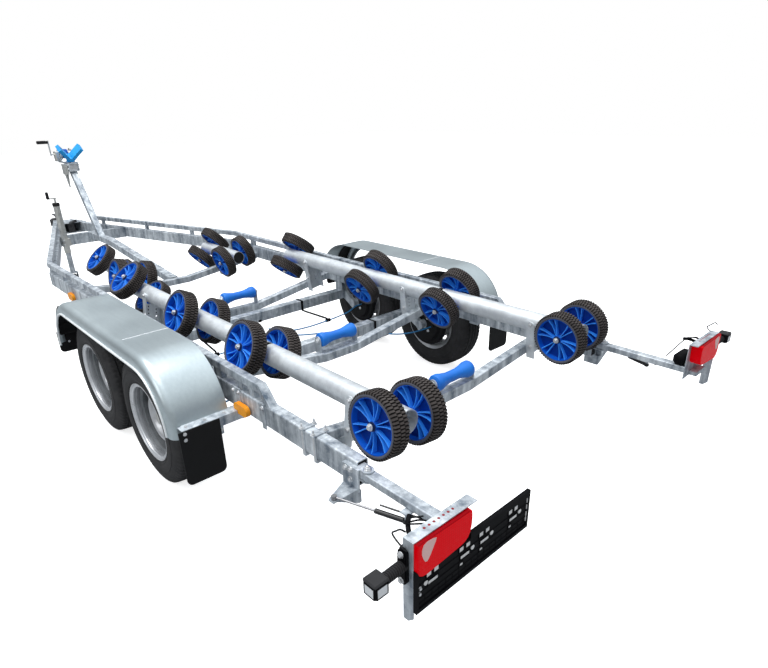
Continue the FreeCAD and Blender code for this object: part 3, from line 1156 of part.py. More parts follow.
def marker_lamp():
    """Outrigger marker lamp: mount on the side plate, ribbed flexible stalk and head."""
    x = LAMP_FACE_X + LAMP_PLATE_DEPTH / 2 + MARKER_MOUNT_AHEAD
    wide, high = MARKER_MOUNT
    wall = LAMP_PLATE_OUTER_Y + SEAT_GAP
    mount = oval(0, wall, 0, high, wide, MARKER_MOUNT_THICK)
    mount.rotate(V(0, 0, 0), V(0, 1, 0), 90)
    mount.translate(V(x, 0, MARKER_MOUNT_Z))
    out, up = STALK_START
    start = V(x, wall + out, MARKER_MOUNT_Z + up)
    half = MARKER_HEAD / 2
    middle = V(MARKER_REAR_X + half, MARKER_HEAD_Y - half, MARKER_HEAD_Z)
    along = middle - start
    proud = STALK_RADIUS + STALK_RIB
    groove = STALK_RADIUS - STALK_GROOVE
    ribs = [(0.0, 0.0), (0.0, STALK_RADIUS + STALK_COLLAR)]
    pitch = (along.Length - half + STALK_LAP) / STALK_RIBS
    for number in range(STALK_RIBS):
        begin = number * pitch
        end = begin + pitch
        ribs += [(begin + STALK_COLLAR, proud), (end - STALK_COLLAR, proud), (end - STALK_RIB, groove), (end, groove)]
    ribs.append((STALK_RIBS * pitch, 0.0))
    stalk = revolved(ribs, start, along)
    head = block(-half, half, -half, half, -half, half)
    upright = [edge for edge in head.Edges if abs(edge.CenterOfMass.z) < 1]
    head = head.makeChamfer(MARKER_CHAMFER, upright)
    head.translate(middle)
    return fused([mount, stalk, head])


def plate_holder():
    """Number-plate holder that hangs below the left lamp, cut out round the lamp."""
    front = LAMP_FACE_X - SEAT_GAP
    rear = front - HOLDER_THICK
    y1 = LAMP_PLATE_OUTER_Y
    y0 = y1 - HOLDER_LENGTH
    top = HOLDER_BOTTOM + HOLDER_HEIGHT
    ends, below, above = HOLDER_TRAY_EDGES
    board = block(rear, front, y0, y1, HOLDER_BOTTOM, top)
    tray = block(rear - CUT_PAST, rear + HOLDER_TRAY_DEPTH, y0 + ends, y1 - ends, HOLDER_BOTTOM + below, top - above)
    room = prism("yz", lamp_outline(HOLDER_LAMP_GAP), rear - CUT_PAST, front + CUT_PAST)
    return board.cut(tray).cut(room)


def strut_ends():
    lug = V(ARM_PIVOT_X + STRUT_LUG[0], ARM_Y + STRUT_LUG[1], STRUT_Z)
    pin = V(ARM_PIVOT_X + STRUT_PIN[0], ARM_Y + STRUT_PIN[1], STRUT_Z)
    return pin, lug


def strut_body():
    """Gas strut's cylinder, on the arm's stud."""
    pin, lug = strut_ends()
    along = (lug - pin).normalize()
    start, end = STRUT_BODY
    body = rod(pin + along * start, pin + along * end, STRUT_BODY_RADIUS)
    eye_radius, eye_height = STRUT_EYE
    eye = Part.makeCylinder(eye_radius, eye_height, pin - V(0, 0, eye_height / 2))
    bore = rod(pin + along * STRUT_BORE_START, pin + along * (end + CUT_PAST), STRUT_ROD_RADIUS + PIN_CLEARANCE)
    hole = Part.makeCylinder(STRUT_STUD_RADIUS + PIN_CLEARANCE, 2 * eye_height, pin - V(0, 0, eye_height))
    return fused([body, eye]).cut(bore).cut(hole)


def strut_rod():
    """Gas strut's rod, to the lug on the beam."""
    pin, lug = strut_ends()
    along = (lug - pin).normalize()
    bar = rod(pin + along * STRUT_ROD_START, lug - along * STRUT_ROD_SHORT, STRUT_ROD_RADIUS)
    eye_radius, eye_height = STRUT_ROD_EYE
    eye = Part.makeCylinder(eye_radius, eye_height, lug - V(0, 0, STRUT_ROD_EYE_BELOW))
    return fused([bar, eye])


def rounded_route(points):
    """Straight runs joined by tangent arcs, each as large as its two runs allow."""
    edges = []
    last = points[0]
    for before, corner, after in zip(points, points[1:], points[2:]):
        into = (corner - before).normalize()
        out = (after - corner).normalize()
        reach = CABLE_BEND_SHARE * min((corner - before).Length, (after - corner).Length)
        turn = into.getAngle(out)
        radius = reach / math.tan(turn / 2)
        start = corner - into * reach
        end = corner + out * reach
        towards = (out - into).normalize()
        centre = corner + towards * (radius / math.cos(turn / 2))
        middle = centre - towards * radius
        edges.append(Part.makeLine(last, start))
        edges.append(Part.Arc(start, middle, end).toShape())
        print("cable arc radius", round(radius))
        last = end
    edges.append(Part.makeLine(last, points[-1]))
    return Part.Wire(edges)


def cable(points, radius):
    path = rounded_route(points)
    start = points[0]
    circle = Part.Wire(Part.makeCircle(radius, start, points[1] - points[0]))
    return path.makePipeShell([circle], True, False)


def brake_cables():
    pieces = []
    for end, x in AXLE_XS.items():
        ahead, y = CABLE_START
        runs = CABLE_RUNS[end]
        route = [V(ahead, y, runs[0].z)] + list(runs)
        pieces.append(both(cable([V(x, 0, 0) + point for point in route], CABLE_RADIUS)))
    return Part.makeCompound(pieces)


def save(name, shape):
    moved = shape.copy()
    moved.translate(V(-MIDDLE_X, 0, 0))
    moved.exportStep("parts/" + name + ".step")


def main():
    os.makedirs("parts", exist_ok=True)
    save("left_side_beam", side_beam())
    save("right_side_beam", mirrored(side_beam()))
    save("upper_rails", both(upper_rail()))
    save("cross_tubes", Part.makeCompound([
        cross_tube(CROSS_FORE), cross_tube_with_keel(CROSS_FRONT, KEEL_ROLLERS[0]),
        cross_tube_with_keel(CROSS_MID, KEEL_ROLLERS[1]), cross_tube_with_keel(CROSS_REAR, KEEL_ROLLERS[2])]))
    save("drawbar", drawbar())
    save("coupling", coupling())
    save("winch_post", winch_post())
    save("winch_frame", winch_frame())
    save("winch_drum", winch_drum())
    save("bow_stop", bow_stop())
    save("jack_sleeve", jack_sleeve())
    save("jack_leg", jack_leg())
    save("jack_wheel", jack_wheel())
    save("guard_brackets", both(guard_brackets()))
    save("mud_flaps", both(mud_flaps()))
    save("side_markers", both(side_markers()))
    save("brake_cables", brake_cables())
    for end, x in AXLE_XS.items():
        save(end + "_axle", axle(x))
    for number, (x, z) in enumerate(KEEL_ROLLERS, 1):
        save("keel_roller_%d" % number, keel_roller(x, z))
    wheel = roller_wheel()
    for name, side in (("left", 1), ("right", -1)):
        turn = (lambda shape: shape) if side > 0 else mirrored
        save(name + "_roller_rails", turn(roller_rails(name)))
        save(name + "_mudguard", turn(mudguard()))
        save(name + "_arm_hinge", turn(arm_hinge()))
        save(name + "_light_arm", turn(light_arm()))
        save(name + "_lamp", turn(lamp()))
        save(name + "_marker_lamp", turn(marker_lamp()))
        save(name + "_strut_body", turn(strut_body()))
        save(name + "_strut_rod", turn(strut_rod()))
        for end, x in AXLE_XS.items():
            save("%s_%s_tyre" % (name, end), tyre(x, side))
            save("%s_%s_rim" % (name, end), rim(x, side))
        rollers = [(x, HULL_RAIL_Y, HULL_RAIL_Z, tilt) for x, tilt in HULL_ROLLERS[name]]
        rollers += [(x, FORE_RAIL_Y, FORE_RAIL_Z, tilt) for x, tilt in FORE_ROLLERS[name]]
        for number, (x, y, z, tilt) in enumerate(rollers, 1):
            save("%s_roller_%d" % (name, number), twin_roller(wheel, x, y, z, side, tilt))
    save("plate_holder", plate_holder())


main()
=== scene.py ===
import bpy
import bmesh
import json
import math
import numpy as np
from mathutils import Matrix, Vector


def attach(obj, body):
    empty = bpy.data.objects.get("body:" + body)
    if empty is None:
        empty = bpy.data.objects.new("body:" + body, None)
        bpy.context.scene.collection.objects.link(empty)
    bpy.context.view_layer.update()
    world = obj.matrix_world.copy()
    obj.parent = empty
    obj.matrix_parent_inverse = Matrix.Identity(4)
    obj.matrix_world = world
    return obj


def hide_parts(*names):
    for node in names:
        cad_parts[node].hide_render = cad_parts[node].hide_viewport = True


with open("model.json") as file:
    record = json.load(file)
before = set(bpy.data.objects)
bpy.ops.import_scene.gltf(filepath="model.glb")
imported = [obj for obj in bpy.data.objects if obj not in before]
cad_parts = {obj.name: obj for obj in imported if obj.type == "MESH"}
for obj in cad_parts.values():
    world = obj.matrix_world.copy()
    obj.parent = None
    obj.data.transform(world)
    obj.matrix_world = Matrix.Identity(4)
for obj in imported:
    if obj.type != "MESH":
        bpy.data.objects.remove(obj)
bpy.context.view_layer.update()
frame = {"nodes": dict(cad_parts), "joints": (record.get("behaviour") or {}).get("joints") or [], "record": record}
NODES = frame["nodes"]
JOINTS = {j["name"]: j for j in frame["joints"]}

# The row frame's origin lies this far forward of the middle between the two axles, in mm
MIDDLE_X = 1437.5


def at(x, y, z):
    """Point measured in mm from the middle between the axles, in the row frame in metres."""
    return Vector(((x - MIDDLE_X) / 1000, y / 1000, z / 1000))


def mirrored(place, side):
    """Place in mm, or with side -1 its mirror image on the right, in the row frame."""
    return at(place[0], side * place[1], place[2])


SIDES = (("left", 1), ("right", -1))
AHEAD, BACK, ACROSS, UP = (1, 0, 0), (-1, 0, 0), (0, 1, 0), (0, 0, 1)
FLIP = Matrix.Rotation(math.pi, 4, "X")
# Turned points closer than this are one point, in metres
SAME_PLACE = 1e-6

# Camera
CAMERA_PLACE = at(-2902.15, 1852.26, 1672.74)
CAMERA_YAW = -0.73907
CAMERA_PITCH = -0.43073
CAMERA_ROLL = 0.0244
CAMERA_LENS = 26.745
CAMERA_SHIFT_Y = 0.048


def make_camera():
    """Camera of the photo, with its roll about the line of sight."""
    level = math.cos(CAMERA_PITCH)
    ahead = Vector((level * math.cos(CAMERA_YAW), level * math.sin(CAMERA_YAW), math.sin(CAMERA_PITCH)))
    right = ahead.cross(Vector(UP)).normalized()
    down = ahead.cross(right)
    c, s = math.cos(CAMERA_ROLL), math.sin(CAMERA_ROLL)
    turn = Matrix((c * right + s * down, s * right - c * down, -ahead)).transposed().to_4x4()
    turn.translation = Vector(CAMERA_PLACE)
    data = bpy.data.cameras.new("camera")
    data.sensor_width = 36
    data.lens = CAMERA_LENS
    data.shift_y = CAMERA_SHIFT_Y
    camera = bpy.data.objects.new("camera", data)
    camera.matrix_world = turn
    bpy.context.scene.collection.objects.link(camera)
    bpy.context.scene.camera = camera


class Value:
    """A shader socket that takes part in sums."""

    def __init__(self, graph, socket):
        self.graph, self.socket = graph, socket

    def __add__(self, other):
        return self.graph.math("ADD", self, other)

    def __rsub__(self, other):
        return self.graph.math("SUBTRACT", other, self)

    def __mul__(self, other):
        return self.graph.math("MULTIPLY", self, other)

    def __pow__(self, other):
        return self.graph.math("POWER", self, other)

    __radd__ = __add__
    __rmul__ = __mul__


class Graph:
    """Node tree of one material or world."""

    def __init__(self, tree):
        self.tree = tree

    def node(self, kind, settings=None, inputs=None, output=0):
        made = self.tree.nodes.new(kind)
        for key, value in (settings or {}).items():
            setattr(made, key, value)
        for key, value in (inputs or {}).items():
            self.feed(made.inputs[key], value)
        return Value(self, made.outputs[output])

    def feed(self, socket, value):
        if isinstance(value, Value):
            self.tree.links.new(value.socket, socket)
        else:
            socket.default_value = value

    def math(self, operation, a, b=0.0):
        return self.node("ShaderNodeMath", {"operation": operation}, {0: a, 1: b})

    def span(self, value, start, end):
        """Value moved from a range to 0 to 1, and held inside it."""
        return self.node("ShaderNodeMapRange", {"clamp": True}, {0: value, 1: start, 2: end})

    def object_place(self):
        return self.node("ShaderNodeTexCoord", output="Object")

    def parts(self, vector):
        made = self.tree.nodes.new("ShaderNodeSeparateXYZ")
        self.feed(made.inputs[0], vector)
        return [Value(self, out) for out in made.outputs]

    def stretch(self, vector, scale):
        return self.node("ShaderNodeMapping", {"vector_type": "POINT"}, {"Vector": vector, "Scale": scale})

    def noise(self, vector, scale, detail=3.0, rough=0.55):
        return self.node("ShaderNodeTexNoise", {"noise_dimensions": "3D"},
                         {"Vector": vector, "Scale": scale, "Detail": detail, "Roughness": rough})

    def cell_shade(self, vector, scale):
        """One grey for each cell of a crystal pattern."""
        colour = self.node("ShaderNodeTexVoronoi", {"feature": "F1"},
                           {"Vector": vector, "Scale": scale, "Randomness": 1.0}, "Color")
        return self.node("ShaderNodeSeparateColor", None, {0: colour})

    def mix(self, factor, a, b):
        return self.node("ShaderNodeMix", {"data_type": "RGBA"}, {0: factor, 6: rgba(a), 7: rgba(b)}, 2)

    def bump(self, height, distance, strength=1.0):
        return self.node("ShaderNodeBump", {"invert": False},
                         {"Strength": strength, "Distance": distance, "Height": height}, "Normal")


def rgba(colour):
    return colour if isinstance(colour, Value) else (*colour[:3], 1.0)


class Finish(Graph):
    """Principled material with its graph."""

    def __init__(self, name, **fixed):
        self.material = bpy.data.materials.new(name)
        self.material.use_nodes = True
        super().__init__(self.material.node_tree)
        self.shader = self.tree.nodes["Principled BSDF"]
        self.place = self.object_place()
        for key, value in fixed.items():
            self.set(key.replace("_", " "), value)

    def set(self, key, value):
        self.feed(self.shader.inputs[key], value)


def galvanised(name, light, dark, metal=0.55, gloss=0.36, streaks=0.7):
    """Hot-dip zinc: spangle, drips down the sides and dull patches."""
    f = Finish(name, Metallic=metal, Specular_IOR_Level=0.3)
    crystal = f.cell_shade(f.place, 52.0)
    fine = f.cell_shade(f.place, 170.0)
    cloud = f.noise(f.place, 5.0, 4.0, 0.6)
    drips = f.noise(f.stretch(f.place, (26.0, 26.0, 2.6)), 1.0, 3.0, 0.6)
    spots = f.noise(f.place, 46.0, 3.0, 0.6)
    tone = 0.22 * crystal + 0.1 * fine + 0.5 * f.span(cloud, 0.3, 0.7)
    tone = tone + streaks * f.span(drips, 0.32, 0.68) + 0.16 * spots
    share = f.span(tone, 0.25, 0.95 + streaks * 0.5)
    f.set("Base Color", f.mix(share, dark, light))
    f.set("Roughness", gloss + 0.14 * f.span(cloud, 0.35, 0.7) + 0.09 * crystal + 0.06 * fine)
    height = 0.5 * spots + 0.3 * crystal + 0.8 * drips * streaks
    f.set("Normal", f.bump(height, 0.0012, 0.5))
    return f.material


def sheet_zinc(name, colour, shade):
    """Smooth zinc-coated sheet with faint cloudy marks and handling scuffs."""
    f = Finish(name, Metallic=0.8, Specular_IOR_Level=0.3)
    cloud = f.noise(f.place, 3.2, 4.0, 0.55)
    fine = f.noise(f.place, 60.0, 3.0, 0.6)
    scuffs = f.noise(f.stretch(f.place, (5.0, 70.0, 70.0)), 1.0, 2.0, 0.5)
    share = f.span(0.7 * cloud + 0.2 * fine + 0.2 * scuffs, 0.35, 0.75)
    f.set("Base Color", f.mix(share, shade, colour))
    f.set("Roughness", 0.27 + 0.1 * f.span(cloud, 0.35, 0.7) + 0.05 * scuffs)
    f.set("Normal", f.bump(0.6 * fine + 0.6 * cloud, 0.0006, 0.35))
    return f.material


def paint(name, colour, shade, metal=0.0, gloss=0.35, coat=0.0, grain=180.0, depth=0.0003, shine=0.3):
    """Painted or moulded surface with a fine orange-peel grain and a little dust."""
    f = Finish(name, Metallic=metal, Coat_Weight=coat, Coat_Roughness=0.12, Specular_IOR_Level=shine)
    cloud = f.noise(f.place, 9.0, 4.0, 0.6)
    fine = f.noise(f.place, grain, 2.0, 0.5)
    f.set("Base Color", f.mix(f.span(0.75 * cloud + 0.25 * fine, 0.35, 0.65), shade, colour))
    f.set("Roughness", gloss + 0.12 * f.span(cloud, 0.3, 0.7) + 0.05 * fine)
    f.set("Normal", f.bump(fine, depth, 0.5))
    return f.material


def rubber(name, colour, dust, gloss=0.55, dusty=0.5):
    """Moulded rubber with a dusty bloom and fine mould grain."""
    f = Finish(name, Specular_IOR_Level=0.16)
    cloud = f.noise(f.place, 11.0, 5.0, 0.65)
    fine = f.noise(f.place, 240.0, 2.0, 0.6)
    f.set("Base Color", f.mix(dusty * f.span(cloud, 0.35, 0.8) + 0.12 * fine, colour, dust))
    f.set("Roughness", gloss + 0.16 * f.span(cloud, 0.3, 0.7) + 0.08 * fine)
    f.set("Normal", f.bump(fine + 0.5 * cloud, 0.0005, 0.6))
    return f.material


def lens(name, deep, pale, cell, painted_glow=0.0):
    """Ribbed lamp lens: small square prisms under a glossy skin; a glow, when given, is painted light in the lens.
    """
    f = Finish(name, Coat_Weight=0.0, Emission_Strength=painted_glow, Specular_IOR_Level=0.05)
    x, y, z = f.parts(f.place)
    across = f.math("PINGPONG", y * cell, 0.5)
    up = f.math("PINGPONG", z * cell, 0.5)
    grid = across * up * 4.0
    cloud = f.noise(f.place, 30.0, 2.0, 0.5)
    f.set("Base Color", f.mix(0.55 * grid + 0.3 * cloud, deep, pale))
    if painted_glow:
        f.set("Emission Color", f.mix(grid, deep, pale))
    f.set("Roughness", 0.16 + 0.12 * cloud)
    f.set("Normal", f.bump(grid, 0.0012, 0.4))
    return f.material


ZINC_LIGHT = (0.72, 0.765, 0.8)
ZINC_DARK = (0.1, 0.132, 0.175)
FINISHES = {
    "galvanised": galvanised("galvanised_steel", ZINC_LIGHT, ZINC_DARK),
    "tube": galvanised("galvanised_tube", (0.8, 0.84, 0.86), (0.58, 0.61, 0.64), 0.6, 0.3, 0.15),
    "zinc": galvanised("bright_zinc", (0.83, 0.83, 0.8), (0.5, 0.5, 0.47), 0.85, 0.26, 0.1),
    "guard_sheet": sheet_zinc("guard_sheet_zinc", (0.54, 0.61, 0.63), (0.41, 0.475, 0.5)),
    "coupling_paint": paint("coupling_black", (0.04, 0.04, 0.043), (0.02, 0.02, 0.022), 0.0, 0.38, 0.2),
    "bow_stop_blue": paint("bow_stop_blue", (0.02, 0.4, 0.84), (0.01, 0.28, 0.7), 0.0, 0.34, 0.1),
    "flap_rubber": rubber("flap_rubber", (0.006, 0.006, 0.0065), (0.016, 0.016, 0.017), 0.5, 0.4),
    "amber": lens("amber_lens", (0.75, 0.22, 0.01), (0.95, 0.5, 0.06), 160.0),
    "cable_blue": paint("cable_blue", (0.03, 0.2, 0.42), (0.02, 0.13, 0.3), 0.0, 0.4),
    # The red lens glows: painted light that brightens its face
    "lamp_red": lens("lamp_red_lens_painted_glow", (0.36, 0.0, 0.002), (0.46, 0.0, 0.005), 120.0, 0.75),
    # Darker red of the lens's top edge: painted shade, with a little painted glow
    "lamp_edge": lens("lamp_edge_red", (0.2, 0.0, 0.002), (0.28, 0.0, 0.004), 120.0, 0.3),
    "black_plastic": paint("black_plastic", (0.005, 0.005, 0.006), (0.002, 0.002, 0.003), 0.0, 0.45, 0.0,
                           320.0, shine=0.06),
    "strut_black": paint("strut_black", (0.012, 0.012, 0.013), (0.008, 0.008, 0.009), 0.0, 0.2, 0.2),
    "tyre": rubber("tyre_rubber", (0.018, 0.018, 0.019), (0.085, 0.082, 0.083), 0.5, 0.5),
    "wheel_silver": paint("wheel_silver", (0.6, 0.61, 0.62), (0.47, 0.48, 0.5), 0.7, 0.28, 0.1),
    # Lighter lip and darker step and inside of one silver rim: painted highlight and painted shade
    "rim_lip": paint("rim_lip_silver", (0.74, 0.75, 0.77), (0.58, 0.59, 0.61), 0.75, 0.24, 0.1),
    "rim_step": paint("rim_step_silver", (0.5, 0.51, 0.53), (0.36, 0.37, 0.39), 0.75, 0.3, 0.0),
    "rim_inside": paint("rim_inside_grey", (0.26, 0.27, 0.28), (0.16, 0.17, 0.18), 0.7, 0.34, 0.0),
    "dish": paint("wheel_dish_silver", (0.36, 0.37, 0.38), (0.24, 0.25, 0.26), 0.7, 0.32, 0.0),
    "roller_rubber": rubber("roller_rubber", (0.036, 0.031, 0.03), (0.155, 0.135, 0.127), 0.5, 0.6),
    # Lighter, bluer rubber of the roller's lip: painted sheen on its rounded edge
    "roller_lip": rubber("roller_lip", (0.07, 0.074, 0.095), (0.15, 0.155, 0.185), 0.42, 0.4),
    # Near-black rubber for the sunk faces of the roller tread: painted shade
    "groove": rubber("tread_groove", (0.006, 0.005, 0.005), (0.016, 0.014, 0.013), 0.7, 0.4),
    "hub_blue": paint("hub_blue", (0.002, 0.1, 0.56), (0.001, 0.065, 0.42), 0.0, 0.33, 0.0, shine=0.2),
    # Darker blue of the hub's floor, painted shade, and brighter blue of its ribs, painted highlight
    "hub_deep": paint("hub_floor_blue_painted_shade", (0.0, 0.04, 0.3), (0.0, 0.022, 0.2), 0.0, 0.4, 0.0, shine=0.1),
    "hub_rib": paint("hub_rib_blue", (0.04, 0.3, 0.95), (0.02, 0.22, 0.85), 0.0, 0.3, 0.15),
    "hub_collar": paint("hub_collar_blue", (0.006, 0.02, 0.09), (0.003, 0.01, 0.05), 0.0, 0.4, 0.0,
                        shine=0.2),
    "keel_blue": paint("keel_blue", (0.01, 0.185, 0.68), (0.006, 0.13, 0.56), 0.0, 0.33, 0.15),
    "bolt": galvanised("bolt_zinc", (0.86, 0.87, 0.88), (0.6, 0.61, 0.62), 0.9, 0.22, 0.05),
    "chrome": paint("rod_chrome", (0.34, 0.34, 0.35), (0.24, 0.24, 0.25), 1.0, 0.2),
    "clear": paint("clear_lens", (0.78, 0.8, 0.82), (0.6, 0.62, 0.64), 0.0, 0.12, 0.8),
    "reflector": lens("pale_reflector", (0.72, 0.4, 0.38), (0.9, 0.78, 0.75), 300.0),
    "hole_red": paint("red_behind_hole", (0.3, 0.02, 0.03), (0.2, 0.01, 0.015), 0.0, 0.5),
    "dark_cap": paint("dark_grey_plastic", (0.03, 0.03, 0.032), (0.02, 0.02, 0.021), 0.0, 0.4, 0.0,
                      320.0, shine=0.16),
    "window": paint("pale_moulding", (0.8, 0.8, 0.8), (0.62, 0.62, 0.62), 0.0, 0.45),
    "brake_black": paint("brake_black", (0.012, 0.012, 0.013), (0.006, 0.006, 0.007), 0.0, 0.45, 0.0,
                         shine=0.16),
    "grip_black": paint("grip_black", (0.014, 0.014, 0.015), (0.008, 0.008, 0.009), 0.0, 0.45, 0.0,
                        260.0, shine=0.2),
    "strap_blue": paint("strap_blue", (0.02, 0.1, 0.42), (0.012, 0.06, 0.3), 0.0, 0.6, 0.0, 600.0, shine=0.1),
    "seam": galvanised("weld_seam_zinc", (0.95, 0.96, 0.97), (0.8, 0.82, 0.84), 0.5, 0.4, 0.1),
    # Near-white zinc of the lip bead: painted highlight on the rounded lip
    "bead": galvanised("lip_bead_zinc_painted_highlight", (0.94, 0.96, 0.97), (0.8, 0.83, 0.84), 0.45, 0.3, 0.1),
    # Near-black plastic in the open tube ends: painted shade of the hollows
    "hollow": paint("dark_hollow", (0.012, 0.012, 0.013), (0.008, 0.008, 0.009), 0.0, 0.7),
}
SLOTS = {s["node"]: s["material_slot"] for s in frame["record"]["subparts"]}
FRAME_FINISH = {"left_roller_rails": "tube", "right_roller_rails": "tube", "left_strut_rod": "chrome",
                "right_strut_rod": "chrome"}


def dress_frame():
    """Better materials on every CAD node."""
    for name, node in NODES.items():
        finish = FINISHES[FRAME_FINISH.get(name, SLOTS[name])]
        if not node.material_slots:
            node.data.materials.append(finish)
        for slot in node.material_slots:
            slot.material = finish


class Shape:
    """Points and faces of one piece, each face with its finish."""

    def __init__(self):
        self.points, self.faces, self.finishes = [], [], []
        self.count = 0

    def add(self, part, finish, move=None):
        """Takes in a part; its finish is one name, or a list with a name for each face."""
        points, faces = part
        points = np.asarray(points, float)
        if move is not None:
            m = np.array(move)
            points = points @ m[:3, :3].T + m[:3, 3]
        self.points.append(points)
        self.faces += [tuple(i + self.count for i in face) for face in faces]
        self.finishes += finish if isinstance(finish, list) else [finish] * len(faces)
        self.count += len(points)

    def block(self, low, high, finish, side=1, edge=0.8):
        """Block with narrow bevels between two corners in mm, or its mirror image on the right."""
        corners = [sorted(pair) for pair in zip(mirrored(low, side), mirrored(high, side))]
        self.add(soft_block([c[0] for c in corners], [c[1] for c in corners], edge / 1000), finish)

    def turned(self, profile, steps, finish, place, axis=UP, side=1, closed=False):
        """Turned form that stands on a place in mm along an axis, or its mirror image."""
        move = stand_on(mirrored(place, side), (axis[0], side * axis[1], axis[2]))
        self.add(lathe(profile, steps, closed), finish, move)

    def rod(self, line, radius, sides, finish, side=1, curved=False):
        """Round rod through places in mm, straight from one to the next or curved, or its mirror image."""
        path = [mirrored(place, side) for place in line]
        self.add(tube_along(smooth_line(path) if curved else path, radius, sides), finish)

    def bolts(self, places, axis, radius, turn, side=1, end=0.0):
        """Bolts at places in mm that point along one axis, or their mirror images."""
        for place in places:
            self.bolt(mirrored(place, side), (axis[0], side * axis[1], axis[2]), radius, turn, end)

    def bolt(self, place, axis, radius, turn=0.3, end=0.0):
        """Bolt head in the row frame, or with an end a nut with its thread standing out."""
        move = stand_on(place, axis, turn)
        for part in bolt_parts(radius):
            self.add(part, "bolt", move)
        if end:
            tip = radius + end + 0.001
            wide, narrow = 0.55 * radius, 0.42 * radius
            thread = [(0, 0), (0, wide), (radius + end, wide), (tip, narrow), (tip, 0)]
            self.add(lathe(thread, 12), "bolt", move)

    def piece(self, name, body, slot, replaces=(), sharp=35.0):
        """Turns the gathered faces into one Blender object that rides on a body."""
        mesh = bpy.data.meshes.new(name)
        mesh.from_pydata(np.concatenate(self.points).tolist(), [], self.faces)
        names = list(dict.fromkeys(self.finishes))
        for finish in names:
            mesh.materials.append(FINISHES[finish])
        index = {finish: i for i, finish in enumerate(names)}
        mesh.polygons.foreach_set("material_index", [index[f] for f in self.finishes])
        work = bmesh.new()
        work.from_mesh(mesh)
        bmesh.ops.recalc_face_normals(work, faces=work.faces)
        work.to_mesh(mesh)
        work.free()
        mesh.polygons.foreach_set("use_smooth", [True] * len(mesh.polygons))
        mesh.set_sharp_from_angle(angle=math.radians(sharp))
        made = bpy.data.objects.new(name, mesh)
        bpy.context.scene.collection.objects.link(made)
        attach(made, body)
        if replaces:
            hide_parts(*replaces)
        return made


def unpack(work):
    """Points and faces of a finished bmesh, which is freed."""
    work.verts.index_update()
    points = [tuple(vert.co) for vert in work.verts]
    faces = [tuple(vert.index for vert in face.verts) for face in work.faces]
    work.free()
    return points, faces


def spun(profile, steps, closed=False):
    """Bmesh turned about local Z from (z, radius) points; radius 0 closes an end."""
    work = bmesh.new()
    verts = [work.verts.new((radius, 0, z)) for z, radius in profile]
    edges = [work.edges.new(pair) for pair in zip(verts, verts[1:] + (verts[:1] if closed else []))]
    bmesh.ops.spin(work, geom=verts + edges, cent=(0, 0, 0), axis=UP, angle=2 * math.pi, steps=steps,
                   use_merge=True)
    bmesh.ops.remove_doubles(work, verts=work.verts, dist=SAME_PLACE)
    return work


def lathe(profile, steps, closed=False):
    return unpack(spun(profile, steps, closed))


def pin_profile(radius, half):
    return [(-half, 0), (-half, radius), (half, radius), (half, 0)]


def stack(rings):
    """Closed solid whose first ring is a flat face that is extruded from ring to ring."""
    work = bmesh.new()
    face = work.faces.new([work.verts.new(place) for place in rings[0]])
    for number, ring in enumerate(rings[1:]):
        made = bmesh.ops.extrude_face_region(work, geom=[face])["geom"]
        if number:
            work.faces.remove(face)
        face = [item for item in made if isinstance(item, bmesh.types.BMFace)][0]
        for vert, place in zip(face.verts, ring):
            vert.co = place
    return unpack(work)


def tread(profile, turns, drop):
    """Band round local Z, closed across its section: a (z, radius, row) point sinks by drop(step, index)."""
    n = len(profile)
    points, faces = [], []
    for i, turn in enumerate(turns):
        j = (i + 1) % len(turns)
        for k, (z, radius, row) in enumerate(profile):
            m = (k + 1) % n
            low = radius - drop(i, k)
            points.append((low * math.cos(turn), low * math.sin(turn), z))
            faces.append((i * n + k, i * n + m, j * n + m, j * n + k))
    return points, faces


def soft_block(low, high, edge):
    """Block between two corners with its edges cut off by a narrow bevel."""
    low, high = Vector(low), Vector(high)
    work = bmesh.new()
    bmesh.ops.create_cube(work, size=1.0)
    bmesh.ops.scale(work, vec=high - low, verts=work.verts)
    bmesh.ops.translate(work, vec=(low + high) / 2, verts=work.verts)
    bmesh.ops.bevel(work, geom=work.edges[:], offset=edge, offset_type="OFFSET", affect="EDGES", segments=1,
                    profile=0.5, material=-1)
    return unpack(work)


def circle(radius, steps, z):
    turns = [2 * math.pi * i / steps for i in range(steps)]
    return [(radius * math.cos(turn), radius * math.sin(turn), z) for turn in turns]


def bolt_parts(radius):
    """Washer and hexagon head, standing on local Z = 0."""
    washer = lathe([(0, 0), (0, 1.35 * radius), (0.2 * radius, 1.3 * radius), (0.24 * radius, 0)], 16)
    rings = ((1.0, 0.2), (1.0, 0.86), (0.84, 1.0))
    return washer, stack([circle(reach * radius, 6, z * radius) for reach, z in rings])


def stand_on(place, axis, turn=0.0):
    """Matrix that sets local Z along an axis at a place."""
    rotation = Vector(UP).rotation_difference(Vector(axis).normalized()).to_matrix().to_4x4()
    return Matrix.Translation(Vector(place)) @ rotation @ Matrix.Rotation(turn, 4, "Z")


def tube_along(path, radius, sides):
    """Round tube along a line of points, closed at both ends."""
    rings = []
    normal = None
    for i, place in enumerate(path):
        along = (path[min(i + 1, len(path) - 1)] - path[max(i - 1, 0)]).normalized()
        if normal is None:
            normal = along.orthogonal().normalized()
        normal = (normal - along * normal.dot(along)).normalized()
        move = Matrix((normal, along.cross(normal), along)).transposed()
        rings.append([place + move @ Vector(point) for point in circle(radius, sides, 0.0)])
    return stack(rings)


def smooth_line(points, steps=6):
    """Curve through points, for bent rods and leads."""
    ends = [2 * points[0] - points[1]] + points + [2 * points[-1] - points[-2]]
    line = []
    for a, b, c, d in zip(ends, ends[1:], ends[2:], ends[3:]):
        for i in range(steps):
            t = i / steps
            line.append(0.5 * ((2 * b) + (c - a) * t + (2 * a - 5 * b + 4 * c - d) * t ** 2
                               + (3 * b - a - 3 * c + d) * t ** 3))
    return line + [points[-1]]


# Hull rollers, in metres
ROLLER_RADIUS = 0.127
ROLLER_HALF = 0.038
ROLLER_OFFSET = 0.098
ROLLER_PIN = 0.010
BLOCKS = 58
BLOCK_DEPTH = 0.0046
